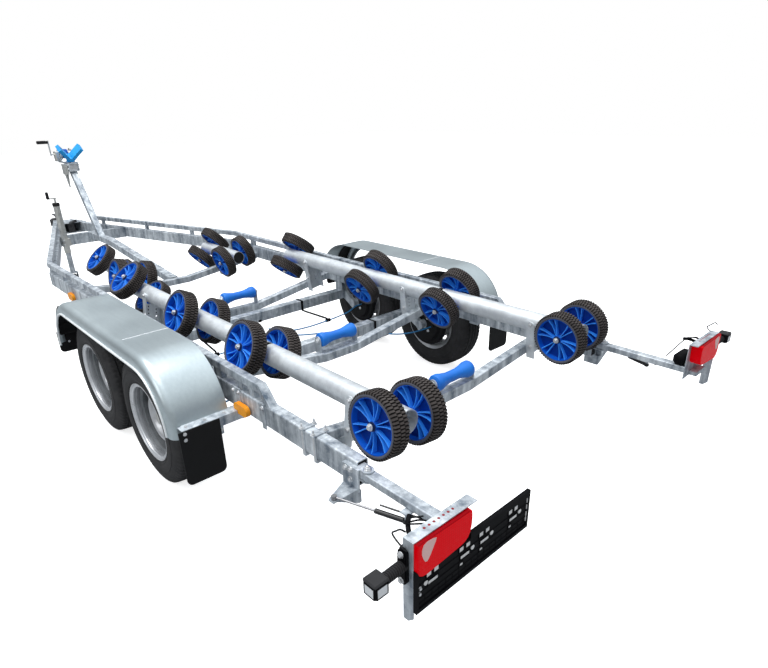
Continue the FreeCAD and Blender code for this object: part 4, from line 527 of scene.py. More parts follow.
# Steps within one pitch of the tread, and those where the outer and the middle row sink between two blocks
BLOCK_STEPS = (0.0, 0.07, 0.36, 0.43, 0.5, 0.57, 0.86, 0.93)
BLOCK_GAPS = {1: (0.07, 0.36), 2: (0.57, 0.86)}
LIP_RADIUS = 0.1065
HUB_FLOOR = ROLLER_HALF - 0.032
HUB_RIB_PAIRS = 6
RIB_LEAN = math.radians(9.5)
PIN_PROUD = 0.015


def roller_tread():
    """Rubber band with rows of blocks, the middle row set between the outer two, and its faces' finishes, with
    painted shade in the sunk faces.
    """
    top, low = ROLLER_RADIUS, ROLLER_RADIUS - BLOCK_DEPTH
    half = ROLLER_HALF - 0.0075
    across = [(half + 0.0045, top - 0.013, 0), (half + 0.003, top - 0.0035, 1), (half, top, 1),
              (0.42 * half, top, 1), (0.40 * half, low, 0), (0.32 * half, low, 0), (0.30 * half, top, 2)]
    across += [(-z, radius, row) for z, radius, row in across[::-1]]
    across += [(-half, top - 0.02, 0), (half, top - 0.02, 0)]
    rows = [row for z, radius, row in across]
    steps = [(block, share) for block in range(BLOCKS) for share in BLOCK_STEPS]

    def sunk(row, share):
        return share in BLOCK_GAPS.get(row, ())

    finishes = []
    for i, (block, share) in enumerate(steps):
        following = steps[(i + 1) % len(steps)][1]
        for pair in zip(rows, rows[1:] + rows[:1]):
            deep = any(sunk(row, place) for row in pair for place in (share, following))
            # sunk faces and the band's inside take near-black rubber: painted shade in the grooves
            finishes.append("groove" if deep or pair == (0, 0) else "roller_rubber")
    turns = [2 * math.pi * (block + share) / BLOCKS for block, share in steps]
    band_part = tread(across, turns, lambda i, k: BLOCK_DEPTH if sunk(rows[k], steps[i][1]) else 0.0)
    return band_part, finishes


def roller_side():
    """Rounded rubber lip round one face of a roller wheel."""
    h, r = ROLLER_HALF, ROLLER_RADIUS
    return lathe([(h - 0.010, LIP_RADIUS - 0.001), (h - 0.003, LIP_RADIUS), (h, LIP_RADIUS + 0.0035),
                  (h + 0.0005, LIP_RADIUS + 0.007), (h - 0.001, LIP_RADIUS + 0.0105), (h - 0.0035, r - 0.011),
                  (h - 0.006, r - 0.010), (h - 0.014, r - 0.014)], 64)


def hub_face():
    """Moulded dish on one face of a wheel: its wall, its floor in a darker blue of painted shade and its boss,
    each with its finish.
    """
    h = ROLLER_HALF
    rim = [(h - 0.004, LIP_RADIUS - 0.0005), (h - 0.004, LIP_RADIUS - 0.0035),
           (h - 0.010, LIP_RADIUS - 0.005), (h - 0.028, LIP_RADIUS - 0.007)]
    floor = [(h - 0.028, LIP_RADIUS - 0.007), (h - 0.031, LIP_RADIUS - 0.011), (HUB_FLOOR, 0.030),
             (h - 0.026, 0.022)]
    boss = [(h - 0.026, 0.022), (h - 0.012, 0.020), (h - 0.010, 0.018), (h - 0.010, 0.0)]
    return [(lathe(rim, 48), "hub_blue"), (lathe(floor, 48), "hub_deep"), (lathe(boss, 32), "hub_blue")]


def hub_rib(angle, spread):
    """Thin rib from the boss to the rim that leans away from its pair, open on the hub's floor."""
    start, end = 0.018, LIP_RADIUS - 0.0045
    rings = []
    for share, below in ((0.0, 0.012), (0.3, 0.0155), (0.65, 0.0145), (1.0, 0.006)):
        radius = start + (end - start) * share
        turn = Matrix.Rotation(angle + spread * (0.72 + 0.28 * share), 3, "Z")
        thick = 0.0016 + 0.0010 * share
        top = ROLLER_HALF - below
        edge = top - 0.0008
        section = ((thick, HUB_FLOOR), (thick, edge), (thick / 2, top), (-thick / 2, top), (-thick, edge),
                   (-thick, HUB_FLOOR))
        rings.append([turn @ Vector((radius, offset, z)) for offset, z in section])
    points, faces = stack(rings)
    return points, [face for face in faces if max(points[i][2] for i in face) > HUB_FLOOR + SAME_PLACE]


def wheel_parts():
    """One roller wheel about local Z: list of (part, finish, move)."""
    tread_part, tread_finishes = roller_tread()
    # the lip takes a lighter, bluer rubber: painted sheen on its rounded edge
    face = [(roller_side(), "roller_lip")] + hub_face()
    for pair in range(HUB_RIB_PAIRS):
        angle = 2 * math.pi * (pair + 0.5) / HUB_RIB_PAIRS
        # ribs take a brighter blue: painted highlight along them
        face += [(hub_rib(angle, lean * RIB_LEAN), "hub_rib") for lean in (-1, 1)]
    parts = [(tread_part, tread_finishes, Matrix())]
    return parts + [(part, finish, move) for move in (Matrix(), FLIP) for part, finish in face]


def make_rollers():
    """Twin rollers: two wheels on a pin, with their collars, spacers and bolts."""
    wheel = wheel_parts()
    outer = ROLLER_OFFSET + ROLLER_HALF - 0.010
    inner = ROLLER_OFFSET - ROLLER_HALF + 0.013
    shank = outer + PIN_PROUD
    collar = lathe([(outer, 0.0), (outer, 0.0185), (outer + 0.003, 0.018), (outer + 0.0045, 0.0125),
                    (shank - 0.006, 0.012), (shank - 0.005, 0.0)], 20)
    spacer = lathe([(0.046, 0.0), (0.046, 0.014), (inner, 0.014), (inner, 0.0)], 20)
    pin = lathe(pin_profile(ROLLER_PIN, 0.06), 16)
    for side, number in [(name, number) for name in ("left", "right") for number in range(1, 7)]:
        joint = JOINTS["%s_twin_roller_%d_spin" % (side, number)]
        centre = Vector(joint["pos_m"])
        axis = Vector(joint["axis"]).normalized()
        shape = Shape()
        for end in (-1, 1):
            spin = 0.31 * number + 1.7 * end
            place = stand_on(centre + axis * (end * ROLLER_OFFSET), axis, spin)
            for part, finish, move in wheel:
                shape.add(part, finish, place @ move)
            shape.add(collar, "hub_collar", stand_on(centre, axis * end))
            shape.bolt(centre + axis * (end * (shank - 0.0055)), axis * end, 0.0105, spin)
            shape.add(spacer, "hub_blue", stand_on(centre, axis * end))
        shape.add(pin, "bolt", stand_on(centre, axis))
        shape.piece("%s_roller_%d_wheels" % (side, number), "%s_twin_roller_%d" % (side, number),
                    "roller_rubber", ["%s_roller_%d" % (side, number)])


# Road wheels, in metres
TYRE_RADIUS = 0.325
TYRE_HALF = 0.094
TYRE_PITCHES = 70
BEAD_RADIUS = 0.188
# Sidewall: how far in from the tyre's side, and how far out from the bead
TYRE_WALL = ((0.031, -0.004), (0.021, 0.003), (0.011, 0.012), (0.0035, 0.023), (0.0045, 0.026),
             (0.0005, 0.04), (0.0, 0.056), (0.0015, 0.066), (0.0005, 0.068), (0.0008, 0.071), (0.003, 0.073),
             (0.006, 0.085), (0.011, 0.1), (0.017, 0.113), (0.022, 0.121), (0.04, 0.12))
# Crown from the shoulder to the middle: place across, depth under the top, and the row that takes the sipes
TYRE_CROWN = ((0.0815, 0.028, 1), (0.0775, 0.0185, 1), (0.073, 0.0105, 1), (0.0675, 0.0055, 1),
              (0.061, 0.0035, 1), (0.052, 0.0022, 1), (0.047, 0.0018, 2), (0.0455, 0.009, 0),
              (0.0405, 0.009, 0), (0.039, 0.0012, 2), (0.030, 0.0008, 3), (0.0165, 0.0002, 3),
              (0.015, 0.008, 0), (0.009, 0.008, 0), (0.0075, 0.0, 3))
SHOULDER_SIPE = 0.0036
MIDDLE_SIPE = 0.0026


def tyre_parts():
    """Grooved crown with its sipes, and the two sidewalls with raised rings."""
    crown = [(z, TYRE_RADIUS - depth, row) for z, depth, row in TYRE_CROWN]
    crown += [(-z, radius, row) for z, radius, row in crown[::-1]]
    half, low = TYRE_HALF - 0.016, TYRE_RADIUS - 0.036
    crown += [(-half, low, 0), (half, low, 0)]

    def drop(step, index):
        row = crown[index][2]
        far = 2 if index > len(TYRE_CROWN) else 0
        if row == 1 and step % 4 == 0:
            return SHOULDER_SIPE
        if row == 3 and (step + far) % 4 == 1:
            return MIDDLE_SIPE
        return 0.0

    steps = TYRE_PITCHES * 4
    wall = lathe([(TYRE_HALF - inset, BEAD_RADIUS + rise) for inset, rise in TYRE_WALL], 96)
    crown_part = tread(crown, [2 * math.pi * i / steps for i in range(steps)], drop)
    return [(crown_part, Matrix()), (wall, Matrix()), (wall, FLIP)]


RIM_HOLES = 10
HOLE_PITCH = 12
HOLE_RING = 0.144
HOLE_REACH = 0.0165
HOLE_WIDTH = 2.6
DISC_THICK = 0.0045
RIM_DISC = ((0.006, 0.062), (0.006, 0.076), (0.012, 0.083), (0.024, 0.09), (0.031, 0.097), (0.0335, 0.105),
            (0.032, 0.114), (0.027, 0.123), (0.019, 0.132), (0.010, 0.14), (0.001, 0.148), (-0.008, 0.156),
            (-0.017, 0.164), (-0.023, 0.171), (-0.024, 0.178))


def rim_disc():
    """Dished wheel disc with a ring of oval holes, made solid along local Z."""
    steps = RIM_HOLES * HOLE_PITCH
    work = spun(RIM_DISC, steps)
    holes = []
    for face in work.faces:
        middle = face.calc_center_median()
        radii = [math.hypot(vert.co.x, vert.co.y) for vert in face.verts]
        step = math.atan2(middle.y, middle.x) % (2 * math.pi) * steps / (2 * math.pi)
        across = (step % HOLE_PITCH - HOLE_PITCH / 2) / HOLE_WIDTH
        along = ((min(radii) + max(radii)) / 2 - HOLE_RING) / HOLE_REACH
        if across ** 2 + along ** 2 < 1:
            holes.append(face)
    bmesh.ops.delete(work, geom=holes, context="FACES")
    made = bmesh.ops.extrude_face_region(work, geom=work.faces[:])["geom"]
    back = [item for item in made if isinstance(item, bmesh.types.BMVert)]
    bmesh.ops.translate(work, vec=(0, 0, -DISC_THICK), verts=back)
    return unpack(work)


WHEEL_BOLTS = 5
WHEEL_PAD = 0.006
FLANGE_RADIUS = 0.197


def rim_parts():
    """Rim barrel with a painted highlight on its lip and painted shade on its step and inside, disc, bolts and hub
    cap; local Z points outwards.
    """
    h, f, b = TYRE_HALF, FLANGE_RADIUS, BEAD_RADIUS - 0.0035
    lip = [(h - 0.021, b - 0.006), (h - 0.016, b - 0.0045), (h - 0.0125, f - 0.0062), (h - 0.009, f - 0.004),
           (h - 0.007, f), (h - 0.0085, f + 0.0015), (h - 0.0125, f + 0.001), (h - 0.017, f - 0.006),
           (h - 0.024, b - 0.001)]
    step = [(h - 0.021, b - 0.006), (h - 0.030, b - 0.0075), (h - 0.031, b - 0.0088), (h - 0.043, b - 0.0095),
            (h - 0.049, b - 0.0075)]
    inside = [(h - 0.049, b - 0.0075), (h - 0.053, b - 0.011), (h - 0.057, b - 0.021), (0.0, b - 0.023),
              (0.052 - h, b - 0.021)]
    back = [(0.052 - h, b - 0.021), (0.044 - h, b - 0.008), (0.017 - h, b - 0.006), (0.009 - h, f - 0.004),
            (0.007 - h, f), (0.0085 - h, f + 0.0015), (0.0125 - h, f + 0.001), (0.017 - h, f - 0.006),
            (0.024 - h, b - 0.001), (0.045 - h, b - 0.003), (0.05 - h, b - 0.016), (0.0, b - 0.018),
            (h - 0.055, b - 0.016), (h - 0.05, b - 0.003), (h - 0.024, b - 0.001)]
    # the lip is a lighter silver as painted highlight; the step and the inside are darker as painted shade
    barrel = ((lip, "rim_lip"), (step, "rim_step"), (inside, "rim_inside"), (back, "wheel_silver"))
    parts = [(lathe(line, 72), finish, Matrix()) for line, finish in barrel]
    parts.append((rim_disc(), "wheel_silver", Matrix()))
    pad = WHEEL_PAD
    hub = [(-0.03, 0.0), (-0.03, 0.063), (pad + 0.002, 0.067), (pad + 0.0035, 0.066), (pad + 0.003, 0.064),
           (pad, 0.058), (pad, 0.034), (pad, 0.0)]
    cap = [(pad, 0.0), (pad, 0.0345), (pad + 0.02, 0.034), (pad + 0.026, 0.031), (pad + 0.0285, 0.024),
           (pad + 0.0285, 0.0)]
    parts += [(lathe(hub, 48), "dish", Matrix()), (lathe(cap, 32), "zinc", Matrix())]
    thread = lathe([(0.01, 0.008), (0.017, 0.0068), (0.0195, 0.0035), (0.02, 0)], 12)
    for i in range(WHEEL_BOLTS):
        turn = Matrix.Rotation(2 * math.pi * (i + 0.25) / WHEEL_BOLTS, 4, "Z")
        move = turn @ Matrix.Translation((0.05, 0, pad))
        parts += [(part, "bolt", move) for part in (*bolt_parts(0.0105), thread)]
    return parts


def make_road_wheels():
    """Tyre and rim of each road wheel, with its outer side outwards."""
    rubber_parts = tyre_parts()
    steel_parts = rim_parts()
    for side, sign in SIDES:
        for end, turn in (("front", 0.4), ("rear", 0.15)):
            body = "%s_%s_wheel" % (side, end)
            place = stand_on(Vector(JOINTS[body + "_spin"]["pos_m"]), (0, sign, 0), turn)
            tyre = Shape()
            for part, move in rubber_parts:
                tyre.add(part, "tyre", place @ move)
            tyre.piece("%s_%s_tyre_tread" % (side, end), body, "tyre", ["%s_%s_tyre" % (side, end)], 30.0)
            rim = Shape()
            for part, finish, move in steel_parts:
                rim.add(part, finish, place @ move)
            rim.piece("%s_%s_rim_disc" % (side, end), body, "wheel_silver", ["%s_%s_rim" % (side, end)], 32.0)


# Keel rollers, in metres
KEEL_HALF = 0.125
KEEL_RADIUS = 0.04
KEEL_WAIST = 0.027
KEEL_NUT = 0.1345
KEEL_PIN_HALF = 0.134


def make_keel_rollers():
    """Cast hourglass rollers with end collars and pin nuts."""
    half, big, waist = KEEL_HALF, KEEL_RADIUS, KEEL_WAIST
    profile = [(-half, 0.0), (-half, big - 0.012), (0.002 - half, big - 0.009), (0.004 - half, big - 0.003),
               (0.010 - half, big), (0.03 - half, big), (0.038 - half, big - 0.0025),
               (-0.6 * half, big - 0.006), (-0.42 * half, waist + 0.003), (-0.28 * half, waist)]
    profile += [(-z, r) for z, r in profile[::-1]]
    casting = lathe(profile, 40)
    pin = lathe(pin_profile(0.009, KEEL_PIN_HALF), 16)
    for number in (1, 2, 3):
        centre = Vector(JOINTS["keel_roller_%d_spin" % number]["pos_m"])
        shape = Shape()
        shape.add(casting, "keel_blue", stand_on(centre, ACROSS))
        for side in (-1, 1):
            shape.bolt(centre + Vector((0, side * KEEL_NUT, 0)), (0, side, 0), 0.0125, 0.2)
        shape.add(pin, "bolt", stand_on(centre, ACROSS))
        shape.piece("keel_roller_%d_casting" % number, "keel_roller_body_%d" % number, "keel_blue",
                    ["keel_roller_%d" % number])


# Lamps, in mm: outlines are (y, z) points of the left side seen from behind
LENS_OUTLINE = [(1040.7, 663.7), (828, 660.2), (820, 656), (816.5, 645), (816.2, 628), (818, 605), (823, 586),
                (832, 571), (846, 562), (866, 557.5), (1008, 546.8), (1022, 549.5), (1032, 557), (1040, 575),
                (1040.7, 590)]
LENS_PATCH = [(1024, 640), (1018, 655), (1003, 659.5), (980, 657), (968, 652), (971, 642), (983, 622),
              (992, 606), (1003, 593), (1011, 595), (1019, 610), (1024, 626)]
# Layers: place along X and how far the edge is drawn in
LENS_LAYERS = ((-2074.5, 0.0), (-2115.0, 0.0), (-2119.0, 1.5), (-2121.0, 5.5))
PATCH_LAYERS = ((-2120.5, 0.0), (-2121.5, 0.8))
# The lens's top edge lies above this height, in metres; faces there take a darker red as painted shade
LENS_TOP = 0.657
FLANGE_X, FLANGE_Z = -2086, 667.1
FLANGE_HOLES = [865.0 + 19.0 * n for n in range(7)]


def layers(outline, depths, side=1):
    """Solid from an outline of (y, z) points in mm, with one ring for each layer."""
    middle = [sum(point[k] for point in outline) / len(outline) for k in (0, 1)]
    reach = max(math.dist(point, middle) for point in outline)
    rings = []
    for x, inset in depths:
        share = 1 - inset / reach
        rings.append([at(x, side * (middle[0] + (y - middle[0]) * share), middle[1] + (z - middle[1]) * share)
                      for y, z in outline])
    return stack(rings)


def make_lamps():
    """Moulded lens with its round inner end, pale reflector and top edge in painted shade, and the holes in the
    flange above.
    """
    for name, side in SIDES:
        lens_shape = Shape()
        points, faces = layers(LENS_OUTLINE, LENS_LAYERS, side)
        lows = [min(points[i][2] for i in face) for face in faces]
        # faces on the lens's top edge take the darker red: painted shade
        lens_shape.add((points, faces), ["lamp_edge" if low > LENS_TOP else "lamp_red" for low in lows])
        lens_shape.add(layers(LENS_PATCH, PATCH_LAYERS, side), "reflector")
        lens_shape.piece(name + "_lamp_lens", name + "_lamp_arm", "lamp_red", [name + "_lamp"], 24.0)
        holes = Shape()
        for y in FLANGE_HOLES:
            holes.turned(pin_profile(0.0042, 0.0003), 16, "hole_red", (FLANGE_X, y, FLANGE_Z), UP, side)
        holes.piece(name + "_flange_holes", name + "_lamp_arm", "galvanised")


# Outrigger lamps, in mm: middle of the lamp box, middle of the mount's foot, and where the stalk starts
MARKER_PLACE = (-2100.0, 1165.0, 607.0)
MOUNT_PLACE = (-2078.0, 1044.4, 578.0)
STALK_START = (-2078.0, 1052.0, 582.0)
STALK_RINGS = 11
# Steps of the mount: from and to along Y, and its share of the outline
MOUNT_STEPS = ((0.0, 10.0, 1.0), (10.0, 13.8, 0.86))
# Frame round a clear panel: low and high corner of each bar, along and up
PANEL_BARS = ((-20, -21, 20, -17), (-20, 11, 20, 15), (-20, -21, -16, 15), (16, -21, 20, 15))


def add_marker_head(shape, side):
    """Small lamp box: dark body, with a framed clear panel in its rear and its outer face."""
    x, y, z = MARKER_PLACE
    shape.block((x - 23, y - 25, z - 24), (x + 25, y + 23, z + 23), "black_plastic", side, 4.0)
    shape.block((x - 24.6, y - 24, z + 15), (x + 25, y + 24.6, z + 25), "dark_cap", side, 3.5)
    for start, low, end, high in PANEL_BARS:
        shape.block((x - 25, y + start, z + low), (x - 22, y + end, z + high), "black_plastic", side, 0.9)
        shape.block((x + start, y + 22, z + low), (x + end, y + 25, z + high), "black_plastic", side, 0.9)
    shape.block((x - 24, y - 16.5, z - 17.5), (x - 22, y + 16.5, z + 11.5), "clear", side, 0.5)
    shape.block((x - 16.5, y + 22, z - 17.5), (x + 16.5, y + 24, z + 11.5), "clear", side, 0.5)


def oval_outline(half_wide, half_high, steps=10):
    """Upright oval with straight sides, as points about its middle."""
    run = half_high - half_wide
    turns = [math.pi * i / steps for i in range(steps + 1)]
    top = [(half_wide * math.cos(turn), run + half_wide * math.sin(turn)) for turn in turns]
    return top + [(-x, -z) for x, z in top]


def make_marker_lamps():
    """Outrigger lamps: bolted rubber mount, ribbed stalk and lamp box."""
    outline = oval_outline(16, 59)
    for name, side in SIDES:
        shape = Shape()
        x, y, z = MOUNT_PLACE
        for start, end, share in MOUNT_STEPS:
            rings = [[at(x + share * along, side * (y + out), z + share * up) for along, up in outline]
                     for out in (start, end)]
            shape.add(stack(rings), "black_plastic")
        shape.bolts([(x, 1057.5, 621), (x, 1057.5, 534)], ACROSS, 0.0075, 0.2, side)
        start = mirrored(STALK_START, side)
        along = mirrored(MARKER_PLACE, side) - start
        reach = along.length - 0.018
        step = reach / STALK_RINGS
        profile = [(0.0, 0.0), (0.0, 0.0178)]
        for begin in [step * number for number in range(STALK_RINGS)]:
            profile += [(begin + 0.12 * step, 0.0168), (begin + 0.55 * step, 0.0168),
                        (begin + 0.68 * step, 0.0138), (begin + 0.98 * step, 0.0138)]
        profile.append((reach, 0.0))
        shape.add(lathe(profile, 20), "dark_cap", stand_on(start, along))
        add_marker_head(shape, side)
        shape.piece(name + "_marker_body", name + "_lamp_arm", "black_plastic", [name + "_marker_lamp"], 30.0)


# Number-plate holder, in mm: its rear face, the middles of the groups of windows along Y, and each window as
# (y, z) corners from there
HOLDER_FACE = -2117.8
WINDOW_GROUPS = (979.0, 845.0, 756.0, 614.0)
WINDOWS = (((-24, 533), (-5, 550)), ((5, 533), (24, 550)), ((-22, 504), (18, 517)), ((6, 481), (20, 491)))
WINDOW_RIM = 2.5
HOLDER_RIBS = (457.0, 475.0, 497.0, 524.0)
COMB_TEETH = [552 + 28.4 * n for n in range(17)]
LATCHES = (458, 478, 505, 530)
KNOB = [(-0.001, 0), (-0.001, 0.008), (0.0018, 0.0075), (0.0022, 0.006), (0.0022, 0)]


def make_holder_relief():
    """Latches, windows and ribs moulded in the plate holder's tray."""
    shape = Shape()
    rim = WINDOW_RIM

    def relief(height, y0, z0, y1, z1, finish, edge):
        shape.block((HOLDER_FACE - height, y0, z0), (HOLDER_FACE + 0.4, y1, z1), finish, 1, edge)

    for middle in WINDOW_GROUPS:
        first = middle == WINDOW_GROUPS[0]
        for low, high in WINDOWS[:3] if first else WINDOWS:
            y0, z0, y1, z1 = middle + low[0], low[1], middle + high[0], high[1]
            relief(0.6, y0, z0, y1, z1, "window", 0.3)
            for bar in ((y0 - rim, z0 - rim, y1 + rim, z0), (y0 - rim, z1, y1 + rim, z1 + rim),
                        (y0 - rim, z0, y0, z1), (y1, z0, y1 + rim, z1)):
                relief(2.6, *bar, "black_plastic", 0.4)
        shape.turned(KNOB, 20, "window", (HOLDER_FACE, middle + (26 if first else -36), 517), BACK)
    for z in HOLDER_RIBS:
        relief(1.6, 542, z, 1030, z + 2.4, "black_plastic", 0.5)
    for y in COMB_TEETH:
        relief(1.3, y, 446, y + 2.0, 472, "black_plastic", 0.4)
    for z in LATCHES:
        relief(2.4, 538.6, z, 541.4, z + 17, "window", 0.4)
    shape.bolts([(HOLDER_FACE, 1028, 512), (HOLDER_FACE, 1030, 494)], BACK, 0.005, 0.1)
    shape.block((-2122.0, 620, 433), (-2121.4, 960, 441), "black_plastic", 1, 0.2)
    shape.piece("plate_holder_relief", "left_lamp_arm", "black_plastic")


# Wire clip, stay, elbow and leads of a lamp arm: line in mm, radius, sides, finish and whether it is curved
ARM_RODS = (
    ([(-2091, 1052, 700), (-2078, 1058, 704), (-2062, 1058, 690), (-2047, 1058, 674), (-2061, 1058, 660),
      (-2083, 1056, 647), (-2090, 1050, 636)], 0.0026, 8, "strut_black", True),
    ([(-1784, 865, 512), (-1834, 849, 512), (-1934, 817, 514)], 0.0032, 8, "strut_black", False),
    ([(-1992, 940, 632), (-2008, 962, 628), (-2034, 982, 616), (-2060, 990, 606)], 0.0075, 12,
     "black_plastic", True),
    ([(-2070, 930, 651), (-2040, 950, 650), (-2012, 962, 634), (-1996, 946, 628), (-1960, 850, 560)], 0.0026,
     8, "black_plastic", True),
    ([(-2070, 930, 647), (-2040, 959, 642), (-2012, 971, 634), (-1996, 946, 628), (-1960, 850, 560)], 0.0026,
     8, "black_plastic", True),
    ([(-2050, 990, 612), (-2040, 1020, 600), (-2050, 1040, 590)], 0.003, 8, "black_plastic", True))


def make_arm_trim():
    """Leads, wire clip and stay by the lamps, and the cover on the right arm's end."""
    for name, side in SIDES:
        shape = Shape()
        for line, radius, sides, finish, curved in ARM_RODS:
            shape.rod(line, radius, sides, finish, side, curved)
        shape.piece(name + "_lamp_leads", name + "_lamp_arm", "black_plastic")
    cover = Shape()
    cover.block((-2069, -885, 556), (-2012, -778, 612), "black_plastic", 1, 14.0)
    cover.piece("right_arm_cover", "right_lamp_arm", "black_plastic", sharp=50.0)


# Mudguards, in mm: half length, top and corner radius of the side view, and the weld seam's place along X
GUARD_HALF = 800.0
GUARD_TOP = 735.0
GUARD_CORNER = 300.0
SEAM_X = -283.0
# Lip bead, a round rod in near-white zinc that paints a highlight on the lip: how far inside the side view it
# runs, where it ends, and its place along Y
BEAD_INSET = 57.0
BEAD_END = 434.0
BEAD_Y = 1132.5
# Lower end of the front liner: black rubber that also stands in for the shade inside the guard's front curve
SHADE_LINER_END = 480.0
# Bolts of one side: places, axis, radius and turn
GUARD_BOLTS = (
    ([(-851.4, 1096, 477), (-851.4, 1097, 449)], BACK, 0.0062, 0.3),
    ([(-845.1, 930, 430)], BACK, 0.0055, 0.3),
    ([(845.1, 930, 476), (845.1, 1096, 476)], AHEAD, 0.0062, 0.3),
    ([(x, y, 490.1) for y in (900, 990, 1075) for x in (-818, 818)], UP, 0.0062, 0.2),
    ([(834.6, 1064, 414), (834.6, 975, 414)], BACK, 0.0058, 0.1),
    ([(middle + x, 826.1, z) for middle in (-809, 809) for x, z in ((-22, 565), (22, 565), (22, 455))],
     ACROSS, 0.0068, 0.4))


def arch(inset, start, end, steps=14):
    """Line of (x, z) points round the guard's front corner, between two angles in degrees."""
    radius = GUARD_CORNER - inset
    line = []
    for i in range(steps + 1):
        turn = math.radians(start + (end - start) * i / steps)
        line.append((GUARD_HALF - GUARD_CORNER + radius * math.cos(turn),
                     GUARD_TOP - GUARD_CORNER + radius * math.sin(turn)))
    return line


def band(line, thick, y0, y1, side=1):
    """Sheet that follows a line of (x, z) points in mm, with its thickness towards the inside."""
    rings = []
    for i, (x, z) in enumerate(line):
        ahead, behind = line[min(i + 1, len(line) - 1)], line[max(i - 1, 0)]
        run = math.dist(ahead, behind)
        inner_x = x - thick * (ahead[1] - behind[1]) / run
        inner_z = z + thick * (ahead[0] - behind[0]) / run
        section = ((x, y0, z), (x, y1, z), (inner_x, y1, inner_z), (inner_x, y0, inner_z))
        rings.append([mirrored(place, side) for place in section])
    return stack(rings)


def make_guard_trim():
    """Weld seam, bead along the lip in near-white as painted highlight, dark rubber liner in the front curve that
    also stands for shade there, and the guard's and flaps' bolts.
    """
    crown = arch(BEAD_INSET, 0.0, 90.0)
    half = [(GUARD_HALF - BEAD_INSET, BEAD_END)] + crown
    lip = [(x, BEAD_Y, z) for x, z in half + [(-x, z) for x, z in half[::-1]]]
    inner_shade_liner = [(GUARD_HALF - 9.0, SHADE_LINER_END)] + arch(9.0, 10.0, 24.0, 5)
    outer_shade_liner = [(GUARD_HALF - 6.0, SHADE_LINER_END)] + arch(6.0, 10.0, 64.0)
    for name, side in SIDES:
        seam = Shape()
        seam.rod([(SEAM_X, 869.5, GUARD_TOP), (SEAM_X + 1, 960, GUARD_TOP), (SEAM_X, 1040, GUARD_TOP),
                  (SEAM_X, 1088, GUARD_TOP)], 0.0015, 8, "seam", side)
        # the bead's near-white zinc is a painted highlight along the lip
        seam.rod(lip, 0.0062, 8, "bead", side)
        seam.piece(name + "_guard_seam", "chassis", "galvanised")
        # black rubber sheet in the front curve: partly a liner, partly painted shade
        shade_liner = Shape()
        shade_liner.add(band(inner_shade_liner, 3.0, 875, 1119, side), "flap_rubber")
        shade_liner.add(band(outer_shade_liner, 2.4, 1003, 1121, side), "flap_rubber")
        shade_liner.piece(name + "_front_liner_and_shade", "chassis", "flap_rubber")
        bolts = Shape()
        for places, axis, radius, turn in GUARD_BOLTS:
            bolts.bolts(places, axis, radius, turn, side)
        bolts.piece(name + "_guard_bolts", "chassis", "zinc")


# Brakes: the front axle's place along X and its height in mm; profiles as (place along Y, radius) in metres
AXLE_X = 356.0
AXLE_Z = 325.0
BRAKE_COVER = ((0.846, 0.031), (0.843, 0.034), (0.843, 0.119), (0.852, 0.124), (0.866, 0.126), (0.870, 0.152),
               (0.880, 0.158), (0.902, 0.158), (0.902, 0.152), (0.886, 0.150), (0.886, 0.031))
COVER_BOLT_RING = 62.0
CABLE_BOOT = ((0, 0), (0, 0.0085), (0.006, 0.011), (0.010, 0.008), (0.014, 0.010), (0.018, 0.0075),
              (0.018, 0))


def make_brake_covers():
    """Dark dust covers round the brake backplates, with their bolts and the cable boot."""
    angles = [math.radians(40 + 90 * turn) for turn in range(4)]
    for name, side in SIDES:
        for end, x, boot_z in (("front", AXLE_X, 328), ("rear", -AXLE_X, 326)):
            shape = Shape()
            shape.turned(BRAKE_COVER, 56, "brake_black", (x, 0, AXLE_Z), ACROSS, side, closed=True)
            places = [(x + COVER_BOLT_RING * math.cos(angle), 843, AXLE_Z + COVER_BOLT_RING * math.sin(angle))
                      for angle in angles]
            shape.bolts(places, (0, -1, 0), 0.0078, 0.3, side)
            shape.turned(CABLE_BOOT, 16, "brake_black", (x - 84, 828, boot_z), ACROSS, side)
            shape.piece("%s_%s_brake_cover" % (name, end), "chassis", "black_plastic")


# Frame, in mm: u-bolts of the rear cross tube, with their line as (y, z) points over a side beam
U_BOLT_X = (-1304, -1376)
U_BOLT = ((823.6, 600), (823.6, 466), (817, 461), (774, 461), (766.4, 466), (766.4, 600))
GUSSET = [(769, 432), (769, 512), (652, 512), (652, 498)]
GUSSET_LAYERS = (((-1313.5, 0.0), (-1308.5, 0.0)), ((-1371.5, 0.0), (-1366.5, 0.0)))
ROLLER_TUBE_ENDS = ((-757, 600, 655), (-717, 600, 655), (1338, 425, 585), (1902, 425, 585))
# Posts: web's place, tube's middle, cross tube's top at the middle and at the beams, flanges' reach along X
POSTS = ((-1371.5, 600, 655, 476, 560, -38.5, 6.5), (-475.0, 600, 655, 440, 536, 0.0, 45.0),
         (588.5, 600, 655, 424, 528, -38.5, 6.5), (1633.5, 425, 585, 437, 520, -38.5, 6.5))
CROSS_TUBE_REACH = 660.0
POST_BOLT_OUT = 56.2
POST_BOLT_HEIGHTS = (4.0, -118.0)
# Nose: where its plates meet the crossbeam, their half width there, and how they open towards the rear
NOSE_X = 4570
NOSE_HALF = 59
NOSE_SLOPE = 0.292
# Bolts of one side: places, axis, radius, turn and how far a thread stands out
FRAME_BOLTS = (
    ([(-1606, 837.6, 549), (-1578, 837.6, 545), (-1604, 837.6, 508)], ACROSS, 0.0085, 0.35, 0.0),
    ([(-1662, 808, 562.1)], UP, 0.0115, 0.2, 0.004),
    ([(x, 48.1, z) for x in (3722, 3818) for z in (1186, 1226)], ACROSS, 0.0078, 0.2, 0.0),
    ([(x, 817.1, 445) for x in (450, 490, -262, -222)], ACROSS, 0.008, 0.1, 0.0))


